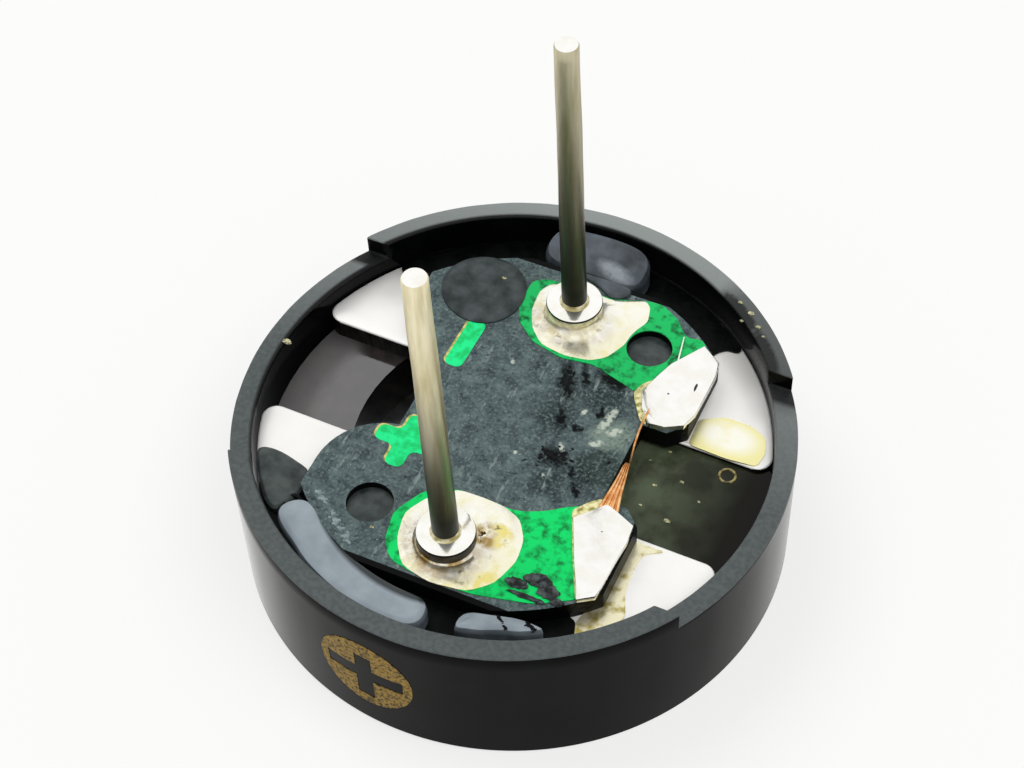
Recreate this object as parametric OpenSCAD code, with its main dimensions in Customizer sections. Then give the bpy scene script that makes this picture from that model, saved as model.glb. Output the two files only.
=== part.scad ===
// Electromagnetic audio transducer, round, two pins, seen from its open back.
// Millimetres. The sound face lies on z = 0 with its centre at the origin and the pins point up +Z.
// X runs along the two notches of the yoke plate, with the coil's leads at +X.
// Y runs along the pin line, with the plus pin at -Y and the minus pin at +Y.

/* [Case] */
// Outside diameter of the case
body_d = 12; // [11.6:0.1:14]
// Thickness of the case's side wall
wall_t = 0.46; // [0.36:0.02:0.6]
// Height of the low parts of the rim above the sound face
rim_h = 3.23; // [3.05:0.01:3.6]
// Extra height of the two raised arcs of the rim
rim_rise = 0.45; // [0.4:0.01:0.9]
// Width of the straight channel between the raised arcs
rim_channel_w = 6.4; // [5.6:0.1:7.4]
// Thickness of the front wall
front_t = 0.5; // [0.4:0.02:0.6]
// Bevel round the outer edge of the sound face
front_bevel = 0.08; // [0.05:0.01:0.2]
// Diameter of the sound hole
sound_hole_d = 2; // [1.2:0.1:2.4]
// Radial width of the ledge under the diaphragm
ledge_w = 0.5; // [0.4:0.05:0.8]
// Depth of the air space in front of the diaphragm
front_air = 0.4; // [0.32:0.02:0.5]

/* [Diaphragm] */
// Thickness of the diaphragm
diaphragm_t = 0.1; // [0.06:0.01:0.14]
// Radial play of the diaphragm in the case
diaphragm_play = 0.05; // [0.03:0.01:0.1]
// Diameter of the armature disc on the diaphragm
armature_d = 2.8; // [2.6:0.1:3.4]
// Thickness of the armature disc
armature_t = 0.2; // [0.12:0.02:0.26]

/* [Magnet and coil] */
// Thickness of the ring magnet
magnet_t = 1.3; // [1.2:0.02:1.4]
// Radial width of the ring magnet
magnet_w = 1.8; // [1.5:0.05:2]
// Radial play of the magnet in the case
magnet_play = 0.19; // [0.1:0.01:0.3]
// Diameter of the core post
core_d = 1.6; // [1.2:0.1:2]
// Air gap between the core post and the diaphragm
core_gap = 0.25; // [0.15:0.01:0.35]
// Radial play of the winding on the core post
coil_play = 0.05; // [0.03:0.01:0.1]
// Outside diameter of the winding
coil_d = 4.6; // [4.5:0.1:5]
// Height of the winding
coil_h = 0.95; // [0.8:0.05:1.1]
// Diameter of the coil wire at its two leads
wire_d = 0.08; // [0.06:0.01:0.1]
// Distance from the board's waist to the leads
lead_gap = 0.2; // [0.12:0.01:0.3]

/* [Yoke plate] */
// Thickness of the yoke plate
yoke_t = 0.5; // [0.44:0.02:0.6]
// Radial play of the yoke plate in the case
yoke_play = 0.04; // [0.02:0.01:0.08]
// Width of each notch in the yoke plate
notch_w = 2.6; // [2.3:0.1:2.9]
// Room in the lead notch between its inner end and the leads
notch_room = 0.6; // [0.5:0.05:0.8]
// Rounding of the plate's corners at the notch mouths
notch_round = 0.32; // [0.2:0.02:0.45]

/* [Circuit board] */
// Thickness of the board without its copper
board_t = 0.5; // [0.44:0.02:0.6]
// Gap between the case's bore and the arc the board's corners lie on
board_gap = 0.89; // [0.7:0.01:1]
// Distance from the arc of the board's corners to its flat ends
board_end_in = 0.25; // [0.15:0.01:0.3]
// Distance from the arc of the board's corners to its sides
board_side_in = 1.23; // [1.15:0.01:1.35]
// Half the height of the waists cut in the board's sides
waist_half = 1.05; // [0.95:0.05:1.15]
// Depth of the waist on the lead side
waist_lead_d = 0.92; // [0.87:0.01:1.02]
// Depth of the waist on the other side
waist_far_d = 1.22; // [1.02:0.02:1.32]
// Radius of the rounded lobes on the far side
lobe_r = 1.47; // [1.4:0.02:1.52]
// Chamfer of the board's corners beside the leads
corner_cut = 0.36; // [0.2:0.02:0.5]
// Diameter of the two open holes in the board
vent_d = 1; // [0.8:0.05:1.1]
// Distance from the middle of the open hole to the board's side
vent_side = 1.55; // [1.5:0.01:1.6]
// Distance from the middle of the open hole to the board's end
vent_end = 1.39; // [1.3:0.01:1.5]
// Thickness of the copper lands
land_t = 0.04; // [0.03:0.01:0.06]
// Width of the copper left bare of solder round each pin
land_ring = 0.15; // [0.1:0.01:0.2]

/* [Pins] */
// Distance from each pin to the board's end, which sets the pin pitch
pin_end = 1.15; // [1.1:0.01:1.2]
// Diameter of each pin
pin_d = 0.6; // [0.5:0.02:0.7]
// Length of each pin above its flange
pin_len = 7.78; // [4:0.02:12]
// Bevel at each pin's tip
pin_bevel = 0.05; // [0.03:0.01:0.1]
// Diameter of the flange on each pin
flange_d = 1.24; // [1.1:0.02:1.36]
// Thickness of the flange on each pin
flange_t = 0.2; // [0.14:0.02:0.24]
// Lean of the plus pin in degrees
plus_lean = 0.6; // [0:0.1:2]
// Lean of the minus pin in degrees
minus_lean = 1.6; // [0:0.1:2]
// Direction both pins lean towards in degrees
lean_dir = 205; // [180:1:230]

/* [Solder] */
// Diameter of the tinned area round each pin
pin_pad_d = 2.24; // [2.1:0.02:2.26]
// Solder thickness under each flange
flange_solder = 0.06; // [0.04:0.01:0.1]
// Solder wall round each pin in its board hole
hole_solder = 0.06; // [0.04:0.01:0.1]
// Height of the solder on the two lead pads
lead_solder_h = 0.16; // [0.14:0.01:0.24]
// Width of the solder on the two lead pads
lead_solder_w = 1.24; // [1.16:0.02:1.28]
// Board left beside the solder on the lead pads
lead_solder_edge = 0.04; // [0.03:0.01:0.08]

/* [Adhesives] */
// Depth of the front beads at the case wall
front_bead_h = 0.5; // [0.36:0.02:0.6]
// Gap between the front beads and the arc of the board's corners
front_bead_gap = 0.02; // [0.01:0.01:0.1]
// Start of the long front bead in degrees
long_bead_from = 222; // [218:1:230]
// End of the long front bead in degrees
long_bead_to = 274.5; // [260:0.5:278]
// Start of the short front bead in degrees
short_bead_from = 281; // [279:0.5:286]
// End of the short front bead in degrees
short_bead_to = 299; // [292:1:306]
// Depth of the bead behind the minus pin
back_bead_h = 0.5; // [0.36:0.02:0.6]
// Width of the bead behind the minus pin
back_bead_w = 2.3; // [1.6:0.1:2.6]
// Sideways place of the bead behind the minus pin
back_bead_x = -0.2; // [-0.3:0.05:0.3]
// Height of the dark dab above the board
dab_h = 0.24; // [0.15:0.01:0.3]
// Radius of the dark dab
dab_r = 1.06; // [0.9:0.02:1.1]
// Distance from the edge of the minus land to the middle of the dab
dab_off = 0.85; // [0.73:0.02:1.03]
// Distance along the pin line from the minus pin to the middle of the dab
dab_back = 0.17; // [0.05:0.02:0.35]
// Thickness of the patch on the plate beside the long bead
patch_h = 0.22; // [0.12:0.02:0.3]
// Radius of the patch on the plate
patch_r = 0.85; // [0.7:0.05:1]
// Distance from the plate's edge to the middle of the patch
patch_in = 0.244; // [0.1:0.002:0.4]
// Turn from the middle of the patch to the long bead in degrees
patch_turn = 7.86; // [5:0.02:10]
// Depth of the resin over the magnet in the lead notch
resin_h = 0.36; // [0.26:0.02:0.42]
// Gap between the leads and the resin
resin_gap = 0.25; // [0.15:0.05:0.6]
// Thickness of the amber film on the plate
film_h = 0.06; // [0.04:0.01:0.1]
// Radius of the amber film
film_r = 0.95; // [0.7:0.05:1.2]
// Distance from the board's side to the middle of the amber film
film_side = 0.78; // [0.58:0.02:1.08]
// Gap between the amber film and the edges beside it
film_gap = 0.03; // [0.02:0.01:0.08]

/* [Hidden] */
$fn = 96;
eps = 0.01;
over = 1;
body_r = body_d / 2;
bore_r = body_r - wall_t;
ledge_z = front_t + front_air;
magnet_z = ledge_z + diaphragm_t;
yoke_z = magnet_z + magnet_t;
board_z = yoke_z + yoke_t;
land_z = board_z + board_t;
pad_z = land_z + land_t;
flange_z = pad_z + flange_solder;
magnet_r = bore_r - magnet_play;
yoke_r = bore_r - yoke_play;
board_r = bore_r - board_gap;
board_half_l = board_r - board_end_in;
board_half_w = board_r - board_side_in;
waist_lead_x = board_half_w - waist_lead_d;
waist_far_x = board_half_w - waist_far_d;
vent_x = board_half_w - vent_side;
vent_y = board_half_l - vent_end;
pin_y = board_half_l - pin_end;
pin_r = pin_d / 2;
pin_hole_r = pin_r + hole_solder;
pad_r = pin_pad_d / 2;
lobe_x = board_half_w - lobe_r;
lobe_y = waist_half + lobe_r - 0.1;
land_r = pad_r + land_ring;
land_in = pin_y - land_r;
lead_y = waist_half + lead_solder_edge;
lead_x = waist_lead_x + lead_gap;
notch_in = lead_x - notch_room;
lead_z = pad_z + lead_solder_h / 2;
lead_edge = board_half_w - lead_solder_edge;
lead_in = lead_edge - lead_solder_w;
lead_end = sqrt(pow(board_r - lead_solder_edge, 2) - pow(lead_edge, 2));
lead_cut = corner_cut + lead_solder_edge / 2;

// Cup-shaped case: front wall with the sound hole, ledge for the diaphragm, stepped rim
module case() {
    hole_r = sound_hole_d / 2;
    top_z = rim_h + rim_rise;
    color("#1d1d1f")
    difference() {
        rotate_extrude()
            polygon([
                [hole_r, 0], [body_r - front_bevel, 0], [body_r, front_bevel], [body_r, top_z],
                [bore_r, top_z], [bore_r, ledge_z], [bore_r - ledge_w, ledge_z],
                [bore_r - ledge_w, front_t], [hole_r, front_t]
            ]);
        translate([-body_d, -rim_channel_w / 2, rim_h])
            cube([2 * body_d, rim_channel_w, rim_rise + over]);
    }
}

// Thin steel diaphragm lying on the ledge
module diaphragm() {
    color("#b9bcc0")
    translate([0, 0, ledge_z])
        cylinder(r = bore_r - diaphragm_play, h = diaphragm_t);
}

// Small steel disc welded under the middle of the diaphragm
module armature_disc() {
    color("#9a9da1")
    translate([0, 0, ledge_z - armature_t])
        cylinder(d = armature_d, h = armature_t);
}

// Sintered ring magnet between the diaphragm's edge and the yoke plate
module ring_magnet() {
    color("#55524f")
    translate([0, 0, magnet_z])
        difference() {
            cylinder(r = magnet_r, h = magnet_t);
            translate([0, 0, -over])
                cylinder(r = magnet_r - magnet_w, h = magnet_t + 2 * over);
        }
}

// Steel core post pressed into the yoke plate
module core_post() {
    color("#a7a9ac")
    translate([0, 0, magnet_z + core_gap])
        cylinder(d = core_d, h = board_z - magnet_z - core_gap);
}

// One straight length of coil wire with round ends
module wire_run(a, b) {
    hull() {
        translate(a)
            sphere(d = wire_d, $fn = 12);
        translate(b)
            sphere(d = wire_d, $fn = 12);
    }
}

// Lead from the winding up through the notch to the flat side of a solder pad, s = -1 plus, 1 minus
module coil_lead(s) {
    start_x = coil_d / 2 - 0.15;
    low = [notch_in + 0.05, s * 0.2, yoke_z - wire_d];
    rise = [lead_x, s * 0.3, yoke_z + 0.3];
    bend = [lead_x + 0.02, s * 0.6, lead_z];
    tip = [lead_x + 0.02, s * (lead_y + 0.1), lead_z];
    translate([min(start_x, low[0]), low[1], low[2]] - [wire_d, wire_d, wire_d] / 2)
        cube([abs(low[0] - start_x) + wire_d, wire_d, wire_d]);
    wire_run(low, rise);
    wire_run(rise, bend);
    intersection() {
        wire_run(bend, tip);
        translate([0, s * (lead_y - over), 0])
            cube([2 * body_d, 2 * over, 2 * body_d], center = true);
    }
}

// Copper winding round the core post with its two leads, one length of wire
module coil_winding() {
    color("#b5652f")
    union() {
        translate([0, 0, yoke_z - coil_h])
            difference() {
                cylinder(d = coil_d, h = coil_h);
                translate([0, 0, -over])
                    cylinder(r = core_d / 2 + coil_play, h = coil_h + 2 * over);
            }
        coil_lead(-1);
        coil_lead(1);
    }
}

// Waste between a notch mouth, the plate's edge and the rounding of its corner
module notch_corner() {
    half = notch_w / 2;
    cx = sqrt(pow(yoke_r - notch_round, 2) - pow(half + notch_round, 2));
    cy = half + notch_round;
    far = (yoke_r + over) / (yoke_r - notch_round);
    difference() {
        linear_extrude(yoke_t + 2 * over)
            polygon([[cx, half - eps], [yoke_r + over, half - eps], [cx * far, cy * far], [cx, cy]]);
        translate([cx, cy, -over])
            cylinder(r = notch_round, h = yoke_t + 4 * over);
    }
}

// Plated steel yoke plate with two notches and the hole for the core post
module yoke_plate() {
    color("#d5d6d8")
    translate([0, 0, yoke_z])
        difference() {
            cylinder(r = yoke_r, h = yoke_t);
            translate([0, 0, -over])
                cylinder(d = core_d, h = yoke_t + 2 * over);
            for (turn = [0, 180])
                rotate(turn)
                    translate([0, 0, -over]) {
                        translate([notch_in, -notch_w / 2, 0])
                            cube([body_r, notch_w, yoke_t + 2 * over]);
                        notch_corner();
                        mirror([0, 1, 0])
                            notch_corner();
                    }
        }
}

// Outline of the board: arc corners, flat ends, a waist each side, round lobes away from the leads
module board_outline() {
    intersection() {
        circle(r = board_r);
        square([2 * board_r, 2 * board_half_l], center = true);
        union() {
            translate([-waist_far_x, -board_half_l])
                square([waist_far_x + waist_lead_x, 2 * board_half_l]);
            for (s = [-1, 1]) {
                translate([-lobe_x, s * lobe_y])
                    circle(r = lobe_r);
                polygon([
                    [-board_half_w, s * lobe_y], [0, s * lobe_y], [0, s * board_half_l],
                    [-board_half_w, s * board_half_l]
                ]);
                polygon([
                    [0, s * waist_half], [board_half_w - corner_cut, s * waist_half],
                    [board_half_w, s * (waist_half + corner_cut)],
                    [board_half_w, s * board_half_l], [0, s * board_half_l]
                ]);
            }
        }
    }
}

// Laminate of the circuit board with the pin holes and the two open holes
module circuit_board() {
    color("#2b3338")
    translate([0, 0, board_z])
        difference() {
            linear_extrude(board_t)
                board_outline();
            for (s = [-1, 1]) {
                translate([0, s * pin_y, -over])
                    cylinder(r = pin_hole_r, h = board_t + 2 * over);
                translate([s * vent_x, s * vent_y, -over])
                    cylinder(d = vent_d, h = board_t + 2 * over);
            }
        }
}

// Copper land from a pin to the lead pad on the same end of the board, s = -1 plus, 1 minus
module land(s) {
    translate([0, 0, land_z])
        difference() {
            linear_extrude(land_t)
                intersection() {
                    board_outline();
                    union() {
                        translate([0, s * pin_y])
                            circle(r = land_r);
                        polygon([
                            [0, s * land_in], [pad_r, s * land_in],
                            [waist_lead_x, s * waist_half], [board_half_w, s * waist_half],
                            [board_half_w, s * board_half_l], [0, s * board_half_l]
                        ]);
                    }
                }
            translate([0, s * pin_y, -over])
                cylinder(r = pin_hole_r, h = land_t + 2 * over);
            translate([s * vent_x, s * vent_y, -over])
                cylinder(d = vent_d, h = land_t + 2 * over);
        }
}

module plus_land() {
    color("#1f8f5a")
    land(-1);
}

module minus_land() {
    color("#1f8f5a")
    land(1);
}

// Flanged pin: tail in the board, flange on the solder, shaft with a bevelled tip
module pin(s, lean) {
    tail_z = board_z + 0.1;
    shaft = pin_len / cos(lean);
    translate([0, s * pin_y, 0]) {
        translate([0, 0, tail_z])
            cylinder(r = pin_r, h = flange_z - tail_z + eps);
        translate([0, 0, flange_z])
            rotate_extrude()
                polygon([
                    [0, 0], [flange_d / 2, 0], [flange_d / 2, flange_t - 0.06],
                    [flange_d / 2 - 0.04, flange_t], [0, flange_t]
                ]);
        translate([0, 0, flange_z + flange_t])
            rotate([0, 0, lean_dir])
                rotate([0, lean, 0])
                    rotate_extrude()
                        polygon([
                            [0, -0.1], [pin_r, -0.1], [pin_r, shaft - pin_bevel],
                            [pin_r - pin_bevel, shaft], [0, shaft]
                        ]);
    }
}

module plus_pin() {
    color("#9b9a90")
    pin(-1, plus_lean);
}

module minus_pin() {
    color("#9b9a90")
    pin(1, minus_lean);
}

// Solder under and round a pin's flange, reaching down the board hole
module pin_solder(s) {
    tail_z = board_z + 0.1;
    flange_r = flange_d / 2;
    translate([0, s * pin_y, 0])
        rotate_extrude()
            polygon([
                [pin_r, tail_z], [pin_hole_r, tail_z], [pin_hole_r, pad_z], [pad_r, pad_z],
                [pad_r - 0.04, pad_z + 0.03], [flange_r + 0.22, pad_z + 0.05],
                [flange_r, flange_z + 0.05], [flange_r, flange_z], [pin_r, flange_z]
            ]);
}

module plus_pin_solder() {
    color("#dcdad2")
    pin_solder(-1);
}

module minus_pin_solder() {
    color("#dcdad2")
    pin_solder(1);
}

// Solder on the plus lead pad, its near side flat where the lead runs in
module plus_lead_solder() {
    color("#e2e1db")
    translate([0, 0, pad_z])
        linear_extrude(lead_solder_h)
            polygon([
                [lead_in + 0.42, -lead_y], [lead_edge - lead_cut, -lead_y],
                [lead_edge, -lead_y - lead_cut], [lead_edge, -lead_end],
                [lead_edge - 0.4, -lead_end - 0.22], [lead_edge - 0.53, -lead_end - 0.2],
                [lead_in + 0.32, -lead_y - 1.42], [lead_in, -lead_y - 0.7],
                [lead_in + 0.15, -lead_y - 0.42]
            ]);
}

// Solder on the minus lead pad, flat where the lead runs in and clear of the open hole
module minus_lead_solder() {
    color("#e2e1db")
    translate([0, 0, pad_z])
        difference() {
            linear_extrude(lead_solder_h)
                polygon([
                    [lead_in + 0.42, lead_y], [lead_edge - lead_cut, lead_y],
                    [lead_edge, lead_y + lead_cut], [lead_edge, lead_end - 0.18],
                    [lead_edge - 0.24, lead_end + 0.1], [lead_edge - 0.54, lead_end + 0.12],
                    [lead_edge - 0.83, lead_end - 0.06], [lead_in + 0.3, lead_end - 0.4],
                    [lead_in + 0.05, lead_y + 1.22], [lead_in, lead_y + 0.77],
                    [lead_in + 0.15, lead_y + 0.42]
                ]);
            translate([vent_x, vent_y, -over])
                cylinder(d = vent_d, h = lead_solder_h + 2 * over);
        }
}

// Bead of adhesive between the board's front edge and the wall over an arc
module front_bead(from, to) {
    inner = board_r + front_bead_gap;
    mid = (inner + bore_r) / 2;
    crest = board_z + front_bead_h;
    rotate(from)
        rotate_extrude(angle = to - from)
            polygon([
                [inner, board_z], [bore_r, board_z], [bore_r, crest], [mid + 0.1, crest - 0.04],
                [inner + 0.08, crest - 0.16], [inner, board_z + 0.1]
            ]);
}

module front_bead_long() {
    color("#6d7580")
    front_bead(long_bead_from, long_bead_to);
}

module front_bead_short() {
    color("#6d7580")
    front_bead(short_bead_from, short_bead_to);
}

// Bead of adhesive between the board's back end and the wall
module back_bead() {
    color("#6d7580")
    translate([0, 0, board_z])
        linear_extrude(back_bead_h)
            intersection() {
                circle(r = bore_r);
                translate([back_bead_x - back_bead_w / 2, board_half_l])
                    square([back_bead_w, body_r]);
            }
}

// Dark dab of adhesive over the board's far back lobe and down to the plate
module board_dab() {
    ball_r = (dab_r * dab_r + dab_h * dab_h) / (2 * dab_h);
    color("#3a3d40")
    difference() {
        translate([-land_r - dab_off, pin_y - dab_back, 0]) {
            translate([0, 0, board_z])
                cylinder(r = dab_r, h = board_t);
            intersection() {
                translate([0, 0, land_z + dab_h - ball_r])
                    sphere(r = ball_r);
                translate([0, 0, land_z])
                    cylinder(r = dab_r, h = 2 * dab_h);
            }
        }
        translate([0, 0, board_z - over])
            linear_extrude(board_t + over)
                board_outline();
        translate([0, pin_y, 0])
            cylinder(r = land_r, h = body_d);
    }
}

// Patch of dark adhesive on the plate, between the board's front lobe and the long bead
module plate_patch() {
    color("#4a4d50")
    translate([0, 0, board_z])
        difference() {
            linear_extrude(patch_h)
                intersection() {
                    circle(r = yoke_r);
                    rotate(long_bead_from - patch_turn)
                        translate([yoke_r - patch_in, 0])
                            circle(r = patch_r);
                }
            translate([0, 0, -over])
                linear_extrude(patch_h + 2 * over)
                    board_outline();
            rotate(long_bead_from)
                translate([0, 0, -over])
                    cube([body_d, body_d, patch_h + 2 * over]);
        }
}

// Resin over the magnet in the notch the leads come through
module notch_resin() {
    color("#4b4238")
    translate([0, 0, yoke_z])
        linear_extrude(resin_h)
            intersection() {
                circle(r = yoke_r);
                translate([lead_x + resin_gap, -notch_w / 2])
                    square([body_r, notch_w]);
            }
}

// Film of amber adhesive on the plate beside the lead notch
module amber_film() {
    side_x = board_half_w + film_gap;
    side_y = notch_w / 2 + film_gap;
    color("#c9b98a")
    translate([0, 0, board_z])
        linear_extrude(film_h)
            intersection() {
                circle(r = yoke_r - film_gap);
                translate([board_half_w + film_side, side_y])
                    circle(r = film_r);
                translate([side_x, side_y])
                    square([body_r, body_r]);
            }
}

case();
diaphragm();
armature_disc();
ring_magnet();
core_post();
coil_winding();
yoke_plate();
circuit_board();
plus_land();
minus_land();
plus_pin();
minus_pin();
plus_pin_solder();
minus_pin_solder();
plus_lead_solder();
minus_lead_solder();
front_bead_long();
front_bead_short();
back_bead();
board_dab();
plate_patch();
notch_resin();
amber_film();
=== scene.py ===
"""Looks of a round electromagnetic audio transducer, seen from its open back, in metres."""
import math
import random

import bmesh
import bpy
from mathutils import Matrix, Vector, noise


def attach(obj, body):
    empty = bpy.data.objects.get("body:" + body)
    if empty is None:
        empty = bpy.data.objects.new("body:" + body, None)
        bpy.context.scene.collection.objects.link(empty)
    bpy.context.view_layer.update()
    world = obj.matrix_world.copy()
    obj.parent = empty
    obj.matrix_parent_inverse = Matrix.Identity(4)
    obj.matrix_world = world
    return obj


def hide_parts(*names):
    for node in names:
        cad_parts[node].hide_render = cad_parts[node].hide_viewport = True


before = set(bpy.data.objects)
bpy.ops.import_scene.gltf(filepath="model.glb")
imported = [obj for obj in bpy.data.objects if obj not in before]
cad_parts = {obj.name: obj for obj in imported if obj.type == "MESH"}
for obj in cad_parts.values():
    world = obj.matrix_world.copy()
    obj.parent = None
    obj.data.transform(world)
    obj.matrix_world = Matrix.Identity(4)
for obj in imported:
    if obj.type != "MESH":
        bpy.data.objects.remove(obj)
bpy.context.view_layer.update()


# Case
# Cup moulded in black ABS: a front wall with the sound hole, a ledge for the diaphragm and a rim
# with two raised arcs that stop square on a straight channel. All the other pieces sit in it.
MM = 0.001
body_r, bore_r = 6.0 * MM, 5.54 * MM
rim_z, arc_z = 3.23 * MM, 3.68 * MM
channel_half = 3.2 * MM
sound_hole_r, front_t, front_bevel = 1.0 * MM, 0.5 * MM, 0.06 * MM
ledge_r, ledge_z = 5.04 * MM, 0.9 * MM
rim_round = 0.04 * MM
# Loops this far from the wall's edges keep its shading even, and narrower slivers are avoided.
hold, sliver = 0.12 * MM, 0.06 * MM
# The rim's top is what lies above this height, and it waves a little.
rim_from, level = rim_z - 0.06 * MM, 0.01 * MM
wave, wave_mm = 0.006 * MM, 0.4
# Where dust is full, where the black lip starts and is full, and the same for the painted shadow in
# the corner under the back arc's step.
dust_y = 6.5 * MM
lip_middle, lip_from, lip_full = Vector((-0.06, 0.05, 3.45)) * MM, 5.6 * MM, 5.53 * MM
step_shadow_from, step_shadow_full, step_shadow_top = 2.72 * MM, 2.86 * MM, rim_z + 0.1 * MM
# Each darker mark on the rim in plan: its middle, half length, half width, and its turn in degrees.
rim_dark_patch = [(4.2, 3.95, 1.9, 1.0, 135)]
rim_dark_streaks = [(4.29, 3.6, 0.9, 0.24, 130), (3.37, 4.47, 0.8, 0.22, 143)]


def linear(code):
    """An sRGB hex colour as linear red, green, blue and alpha."""
    parts = [int(code[i:i + 2], 16) / 255 for i in (1, 3, 5)]
    return (*[p / 12.92 if p <= 0.04045 else ((p + 0.055) / 1.055) ** 2.4 for p in parts], 1.0)


def per(mm):
    """The texture scale that gives a pattern a feature of that many millimetres."""
    return 1 / (mm * MM)


def add(tree, kind, settings={}, links={}):
    """Adds one node, with values for its sockets or properties and links into its sockets.

    A link comes from a socket, or from a node's first output."""
    node = tree.nodes.new("ShaderNode" + kind)
    for key, value in settings.items():
        if isinstance(key, int) or key in node.inputs:
            node.inputs[key].default_value = value
        else:
            setattr(node, key, value)
    for key, source in links.items():
        socket = source.outputs[0] if isinstance(source, bpy.types.Node) else source
        tree.links.new(socket, node.inputs[key])
    return node


def surface(name, settings, colours, grain, spread=(0.4, 0.6), bump=0.0, fine=0.05, stretch=None):
    """A material with patches of two hex colours, grain millimetres wide, and a fine relief.

    Gives the material, its nodes, its Principled shader and the object's own coordinates."""
    made = bpy.data.materials.new(name)
    made.use_nodes = True
    tree = made.node_tree
    shader = tree.nodes["Principled BSDF"]
    for key, value in settings.items():
        shader.inputs[key].default_value = value
    coords = add(tree, "TexCoord").outputs["Object"]
    place = add(tree, "Mapping", {"Scale": stretch}, {"Vector": coords}) if stretch else coords
    patches = add(tree, "TexNoise", {"Scale": per(grain), "Detail": 6.0}, {"Vector": place})
    share = add(tree, "MapRange", {"From Min": spread[0], "From Max": spread[1]},
                {"Value": patches})
    mixed = add(tree, "MixRGB", {"Color1": linear(colours[0]), "Color2": linear(colours[1])},
                {"Fac": share})
    tree.links.new(mixed.outputs["Color"], shader.inputs["Base Color"])
    if bump:
        relief = add(tree, "TexNoise", {"Scale": per(fine), "Detail": 4.0}, {"Vector": place})
        lifted = add(tree, "Bump", {"Strength": bump, "Distance": 0.02 * MM}, {"Height": relief})
        tree.links.new(lifted.outputs["Normal"], shader.inputs["Normal"])
    return made, tree, shader, coords


def tint(tree, shader, code, share, keep="Color1"):
    """Mixes a hex colour over the base colour by a share, or under it where keep is Color2."""
    colour = shader.inputs["Base Color"].links[0].from_socket
    mixed = add(tree, "MixRGB", {"Color1": linear(code), "Color2": linear(code)},
                {"Fac": share, keep: colour})
    tree.links.new(mixed.outputs["Color"], shader.inputs["Base Color"])


def spot(tree, coords, middle, half, turn=0):
    """A share that falls from 1 at a middle to 0 at the half sizes, both in millimetres."""
    place = add(tree, "Mapping", {
        "vector_type": "TEXTURE", "Location": Vector(middle) * MM,
        "Rotation": (0, 0, math.radians(turn)), "Scale": Vector(half) * MM}, {"Vector": coords})
    ball = add(tree, "TexGradient", {"gradient_type": "SPHERICAL"}, {"Vector": place})
    return ball.outputs["Fac"]


def marked(tree, coords, marks, rough, low, high, full):
    """A share that rises from 0 to full over soft-edged marks in plan, broken up by a noise."""
    total = None
    for x, y, long, wide, turn in marks:
        mark = spot(tree, coords, (x, y, 0), (long, wide, 1000), turn)
        total = mark if total is None else add(
            tree, "Math", {"operation": "MAXIMUM"}, {0: total, 1: mark})
    broken = add(tree, "TexNoise", {"Scale": per(0.1), "Detail": 8.0}, {"Vector": coords})
    broken = add(tree, "Math", {"operation": "MULTIPLY_ADD", 1: rough, 2: 1 - 0.5 * rough},
                 {0: broken})
    total = add(tree, "Math", {"operation": "MULTIPLY"}, {0: total, 1: broken})
    return add(tree, "MapRange", {"From Min": low, "From Max": high, "To Max": full},
               {"Value": total})


def whole(bm):
    """All the vertices, edges and faces of a bmesh."""
    return bm.verts[:] + bm.edges[:] + bm.faces[:]


def spun(bm, profile, steps=192, closed=True):
    """Spins a profile of radius and height round the Z axis into the bmesh."""
    verts = [bm.verts.new((r, 0, z)) for r, z in profile]
    ends = verts[1:] + verts[:1] if closed else verts[1:]
    edges = [bm.edges.new(pair) for pair in zip(verts, ends)]
    bmesh.ops.spin(bm, geom=verts + edges, cent=(0, 0, 0), axis=(0, 0, 1), angle=2 * math.pi,
                   steps=steps, use_merge=True)
    bmesh.ops.remove_doubles(bm, verts=bm.verts, dist=1e-8)
    bmesh.ops.recalc_face_normals(bm, faces=bm.faces)


def raised(bm, faces, height, keep=True):
    """Extrudes faces straight up by a height, and gives what was made."""
    risen = bmesh.ops.extrude_face_region(bm, geom=faces, use_keep_orig=keep)["geom"]
    bmesh.ops.translate(bm, vec=(0, 0, height),
                        verts=[v for v in risen if isinstance(v, bmesh.types.BMVert)])
    return risen


def rounded(bm, geom, offset, segments, affect="EDGES"):
    """Rounds edges, or the corners of a flat outline."""
    bmesh.ops.bevel(bm, geom=geom, offset=offset, offset_type="OFFSET", segments=segments,
                    profile=0.5, affect=affect, clamp_overlap=True, material=-1)


def piece(name, bm, *materials):
    """Makes the bmesh an object at the origin, shaded smooth but for its sharp edges."""
    mesh = bpy.data.meshes.new(name)
    bm.to_mesh(mesh)
    bm.free()
    mesh.shade_smooth()
    mesh.set_sharp_from_angle(angle=math.radians(38))
    for finish in materials:
        mesh.materials.append(finish)
    made = bpy.data.objects.new(name, mesh)
    bpy.context.scene.collection.objects.link(made)
    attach(made, "root")
    return made


# Moulded ABS: near black with a fine grain, and a film of dust that greys it at a low angle.
abs_wall, *_ = surface(
    "moulded_black_abs", {"Roughness": 0.15, "IOR": 1.54, "Specular IOR Level": 0.035,
                          "Sheen Weight": 1.0, "Sheen Roughness": 0.2},
    ("#030404", "#08090a"), 0.9, bump=0.06, fine=0.07)
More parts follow.
